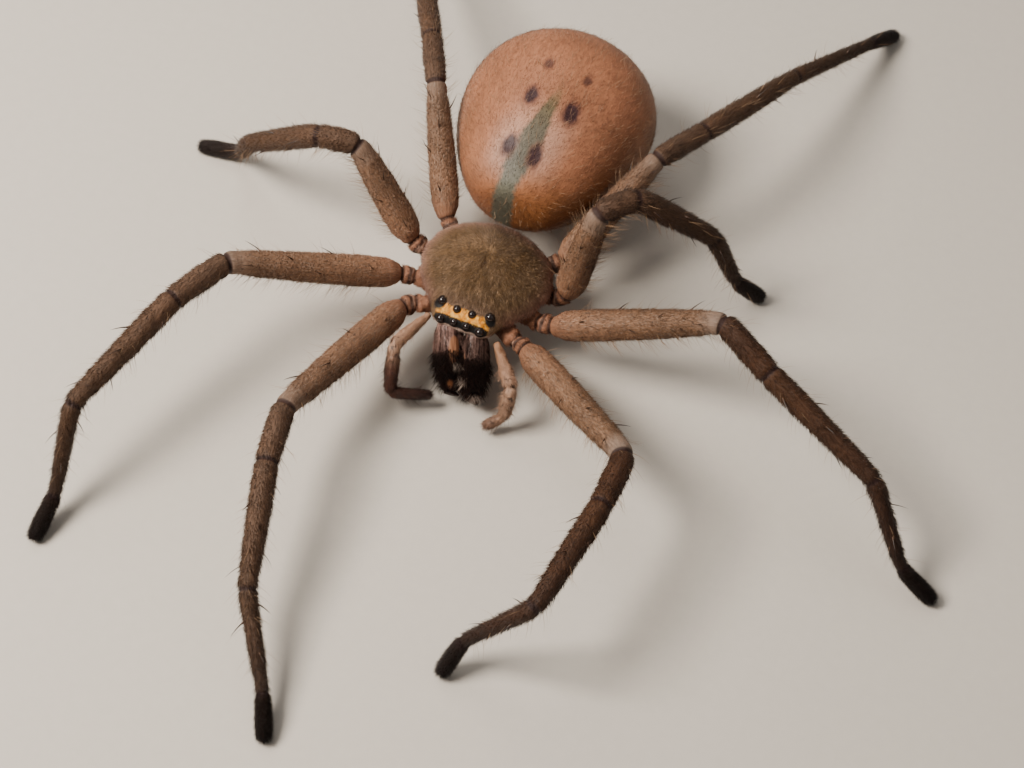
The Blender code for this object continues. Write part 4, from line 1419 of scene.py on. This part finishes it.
class SpiderAbdomen(bpy.types.Operator):
    """Build the abdomen with its dimples and its fine coat"""

    bl_idname = "spider.abdomen"
    bl_label = "Abdomen"

    def execute(self, context):
        deselect()
        bpy.ops.mesh.primitive_uv_sphere_add(segments=128, ring_count=90, radius=1.0)
        thing = bpy.context.object
        thing.name = "abdomen_skin"
        raw = vertex_places(thing) * MM
        half = [size - sizes().coat_depth for size in ABDOMEN_HALF]
        along = -raw[:, 2]
        girth = 1 + ABDOMEN_EGG * along
        across = raw[:, 0] * half[0] * girth
        shaped = np.stack((across, along * half[1], raw[:, 1] * half[2] * girth), axis=1)
        turned = shaped @ np.array(Matrix.Rotation(ABDOMEN_PITCH, 3, "X")).T + np.array(ABDOMEN_MIDDLE)
        past = np.clip(ABDOMEN_FRONT - turned[:, 1], 0.0, None)
        turned[:, 1] += past - ABDOMEN_YIELD * (1 - np.exp(-past / ABDOMEN_YIELD))
        for x, y, size, strength in SIGILLA:
            off = np.hypot(turned[:, 0] - x, turned[:, 1] - y)
            dimple = SIGILLA_DEPTH * strength * np.exp(-((off / (size * 0.7)) ** 2))
            turned[:, 2] -= dimple * (turned[:, 2] > 8)
        move_vertices(thing, turned + np.array(SHIFT))
        activate(thing)
        bpy.ops.object.mode_set(mode="EDIT")
        bpy.ops.mesh.select_all(action="SELECT")
        bpy.ops.mesh.normals_make_consistent(inside=False)
        bpy.ops.object.mode_set(mode="OBJECT")
        thing.data.shade_smooth()
        store(thing, "spot", vertex_places(thing) - np.array(SHIFT))
        paint = skin_paint("abdomen_skin", abdomen_colour, 0.5, 0.3, 0.3, 0.12)
        hand_in(thing, paint, ["abdomen"])
        draw = np.random.default_rng(7)
        roots = self.roots(thing, sizes().body_hairs, draw, 0.15)
        piece = grow("coat_abdomen", roots, draw, **HAIRS["abdomen_coat"])
        hand_in(piece, coat_paint("abdomen_coat", abdomen_colour, 0.5, 0.3, 0.05, 0.68, 1.45))
        roots = self.roots(thing, HAIR_COUNTS["abdomen_hair"], draw, 0.4)
        piece = grow("hair_abdomen", roots, draw, **HAIRS["abdomen_hair"])
        hand_in(piece, long_hair_paint())
        return {"FINISHED"}

    @staticmethod
    def roots(thing, count, draw, drop):
        """Hair roots over the abdomen, lying back and, by a share, down."""
        places, normals = mesh_scatter(thing, fewer(count), draw)
        return {
            "place": places,
            "normal": normals,
            "lie": lying(np.tile((0.0, 1.0, -drop), (len(places), 1)), normals),
            "spot": places - np.array(SHIFT),
            "patch": wrap_patch(places, placed(ABDOMEN_MIDDLE), 2 * ABDOMEN_HALF[1]),
        }


class SpiderShieldCoat(bpy.types.Operator):
    """Cover the carapace with its felt of short hair"""

    bl_idname = "spider.shield_coat"
    bl_label = "Carapace coat"

    def execute(self, context):
        thing = bpy.data.objects["carapace_skin"]
        draw = np.random.default_rng(17)
        places, normals = mesh_scatter(thing, fewer(HAIR_COUNTS["shield_coat"]), draw)
        body = to_body(places)
        keep = (body[:, 2] > -0.3) & (normals[:, 2] > -0.35)
        for sign in SIDES.values():
            for (x, y, z), radius in EYES.values():
                gap = np.linalg.norm(body - np.array((x * sign, y, z)), axis=1)
                keep &= gap > radius + 0.2
        middle = np.array(placed(on_body(*FOVEA)))
        outward = places - middle
        outward[:, 1] -= 1.6
        roots = {
            "place": places,
            "normal": normals,
            "lie": lying(unit(outward) + np.array((0.0, -0.2, -0.1)), normals),
            "spot": body,
            "patch": wrap_patch(places, placed(on_body(0.0, 0.0, -1.5)), 14.0),
        }
        roots = chosen_roots(roots, keep)
        length = np.interp(roots["spot"][:, 1], (-5.8, -4.7, -4.2, -3.5), (0.26, 0.34, 0.55, 0.62))
        piece = grow("coat_carapace", roots, draw, length, **HAIRS["shield_coat"])
        paint = coat_paint("shield_coat", shield_colour, 0.55, 0.25, 0.06, 0.5, 1.75)
        hand_in(piece, paint)
        return {"FINISHED"}


class SpiderUnderside(bpy.types.Operator):
    """Build the plates and lobes under the body, the waist and the spinnerets"""

    bl_idname = "spider.underside"
    bl_label = "Underside"

    def execute(self, context):
        brown = plain_paint("plate_cuticle", (0.26, 0.16, 0.10), 0.5)
        tan = plain_paint("spinneret_cuticle", (0.33, 0.18, 0.10), 0.55)
        pieces = (
            ("sternum_plate", ["sternum"], brown, "sternum"),
            ("waist", ["pedicel"], brown, "sternum"),
            ("lobe_left", ["maxilla_left"], brown, "palps"),
            ("lobe_right", ["maxilla_right"], brown, "palps"),
            ("spinneret_cluster", ["spinnerets"], tan, "abdomen"),
        )
        for name, nodes, paint, slot in pieces:
            thing = soft_copy(name, nodes, 0.08, 5, 0.02)
            hand_in(thing, paint, nodes)
        return {"FINISHED"}


def camera_axes():
    """The camera's right, up and backward directions."""
    flat = math.cos(CAMERA_RISE)
    back = Vector((math.sin(CAMERA_TURN) * flat, -math.cos(CAMERA_TURN) * flat, math.sin(CAMERA_RISE)))
    right = (-back).cross(Vector((0.0, 0.0, 1.0))).normalized()
    up = back.cross(right)
    turned = right * math.cos(CAMERA_ROLL) + up * math.sin(CAMERA_ROLL)
    risen = up * math.cos(CAMERA_ROLL) - right * math.sin(CAMERA_ROLL)
    return turned, risen, back


class SpiderStage(bpy.types.Operator):
    """Set the pale floor, the soft lights and the camera"""

    bl_idname = "spider.stage"
    bl_label = "Stage"

    def execute(self, context):
        right, up, back = camera_axes()
        target = placed(CAMERA_TARGET)
        deselect()
        bpy.ops.mesh.primitive_plane_add(size=2.4, location=(0.0, 0.0, -0.00002))
        floor = bpy.context.object
        floor.name = "floor"
        paint = Paint("floor_card", 0.8, 0.2)
        grain = paint.noise(paint.object_place(), 900.0, 4.0)
        paint.colour(paint.shade(colours().floor, 0.96 + grain * 0.08))
        paint.bump(grain, 0.15, 0.1)
        floor.data.materials.append(paint.material)
        data = bpy.data.cameras.new("view")
        camera = bpy.data.objects.new("view", data)
        context.scene.collection.objects.link(camera)
        data.sensor_width = 36.0
        data.lens = data.sensor_width / 2 / math.tan(CAMERA_WIDTH / 2)
        data.clip_start = 0.005
        data.clip_end = 10.0
        turn = Matrix((right, up, back)).transposed().to_4x4()
        camera.matrix_world = Matrix.Translation((target + back * CAMERA_DISTANCE) * MM) @ turn
        context.scene.camera = camera
        for name, ((across, rise, near), *settings) in LAMPS.items():
            self.lamp(name, target, right * across + up * rise + back * near, *settings)
        world = bpy.data.worlds.new("studio")
        context.scene.world = world
        world.use_nodes = True
        background = world.node_tree.nodes["Background"]
        background.inputs["Color"].default_value = WORLD_COLOUR
        background.inputs["Strength"].default_value = WORLD_STRENGTH
        return {"FINISHED"}

    @staticmethod
    def lamp(name, target, direction, distance, size, power, colour):
        """One soft square lamp, aimed at the animal; distance and size in metres."""
        data = bpy.data.lights.new(name, "AREA")
        data.size = size
        data.energy = power
        data.color = colour
        lamp = bpy.data.objects.new(name, data)
        bpy.context.scene.collection.objects.link(lamp)
        toward = direction.normalized()
        lamp.location = target * MM + toward * distance
        lamp.rotation_euler = toward.to_track_quat("Z", "Y").to_euler()


STEPS = (
    SpiderCarapace,
    SpiderEyes,
    SpiderJaws,
    SpiderPalps,
    SpiderLegs,
    SpiderAbdomen,
    SpiderShieldCoat,
    SpiderUnderside,
    SpiderStage,
)


class SpiderPanel(bpy.types.Panel):
    """Lists the spider's sizes, colours and building steps"""

    bl_idname = "VIEW3D_PT_spider"
    bl_label = "Huntsman spider"
    bl_space_type = "VIEW_3D"
    bl_region_type = "UI"
    bl_category = "Spider"

    def draw(self, context):
        for group in (context.scene.spider_sizes, context.scene.spider_colours):
            for key in group.__annotations__:
                self.layout.prop(group, key)
        for step in STEPS:
            self.layout.operator(step.bl_idname)


CLASSES = (SpiderSizes, SpiderColours, *STEPS, SpiderPanel)


def register():
    for kind in CLASSES:
        bpy.utils.register_class(kind)
    bpy.types.Scene.spider_sizes = PointerProperty(type=SpiderSizes)
    bpy.types.Scene.spider_colours = PointerProperty(type=SpiderColours)


def unregister():
    del bpy.types.Scene.spider_sizes
    del bpy.types.Scene.spider_colours
    for kind in reversed(CLASSES):
        bpy.utils.unregister_class(kind)


def main():
    """Build every piece in order."""
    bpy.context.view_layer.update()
    register()
    bpy.ops.spider.carapace()
    bpy.ops.spider.eyes()
    bpy.ops.spider.jaws()
    bpy.ops.spider.palps()
    bpy.ops.spider.legs()
    bpy.ops.spider.abdomen()
    bpy.ops.spider.shield_coat()
    bpy.ops.spider.underside()
    bpy.ops.spider.stage()


if __name__ == "__main__":
    main()
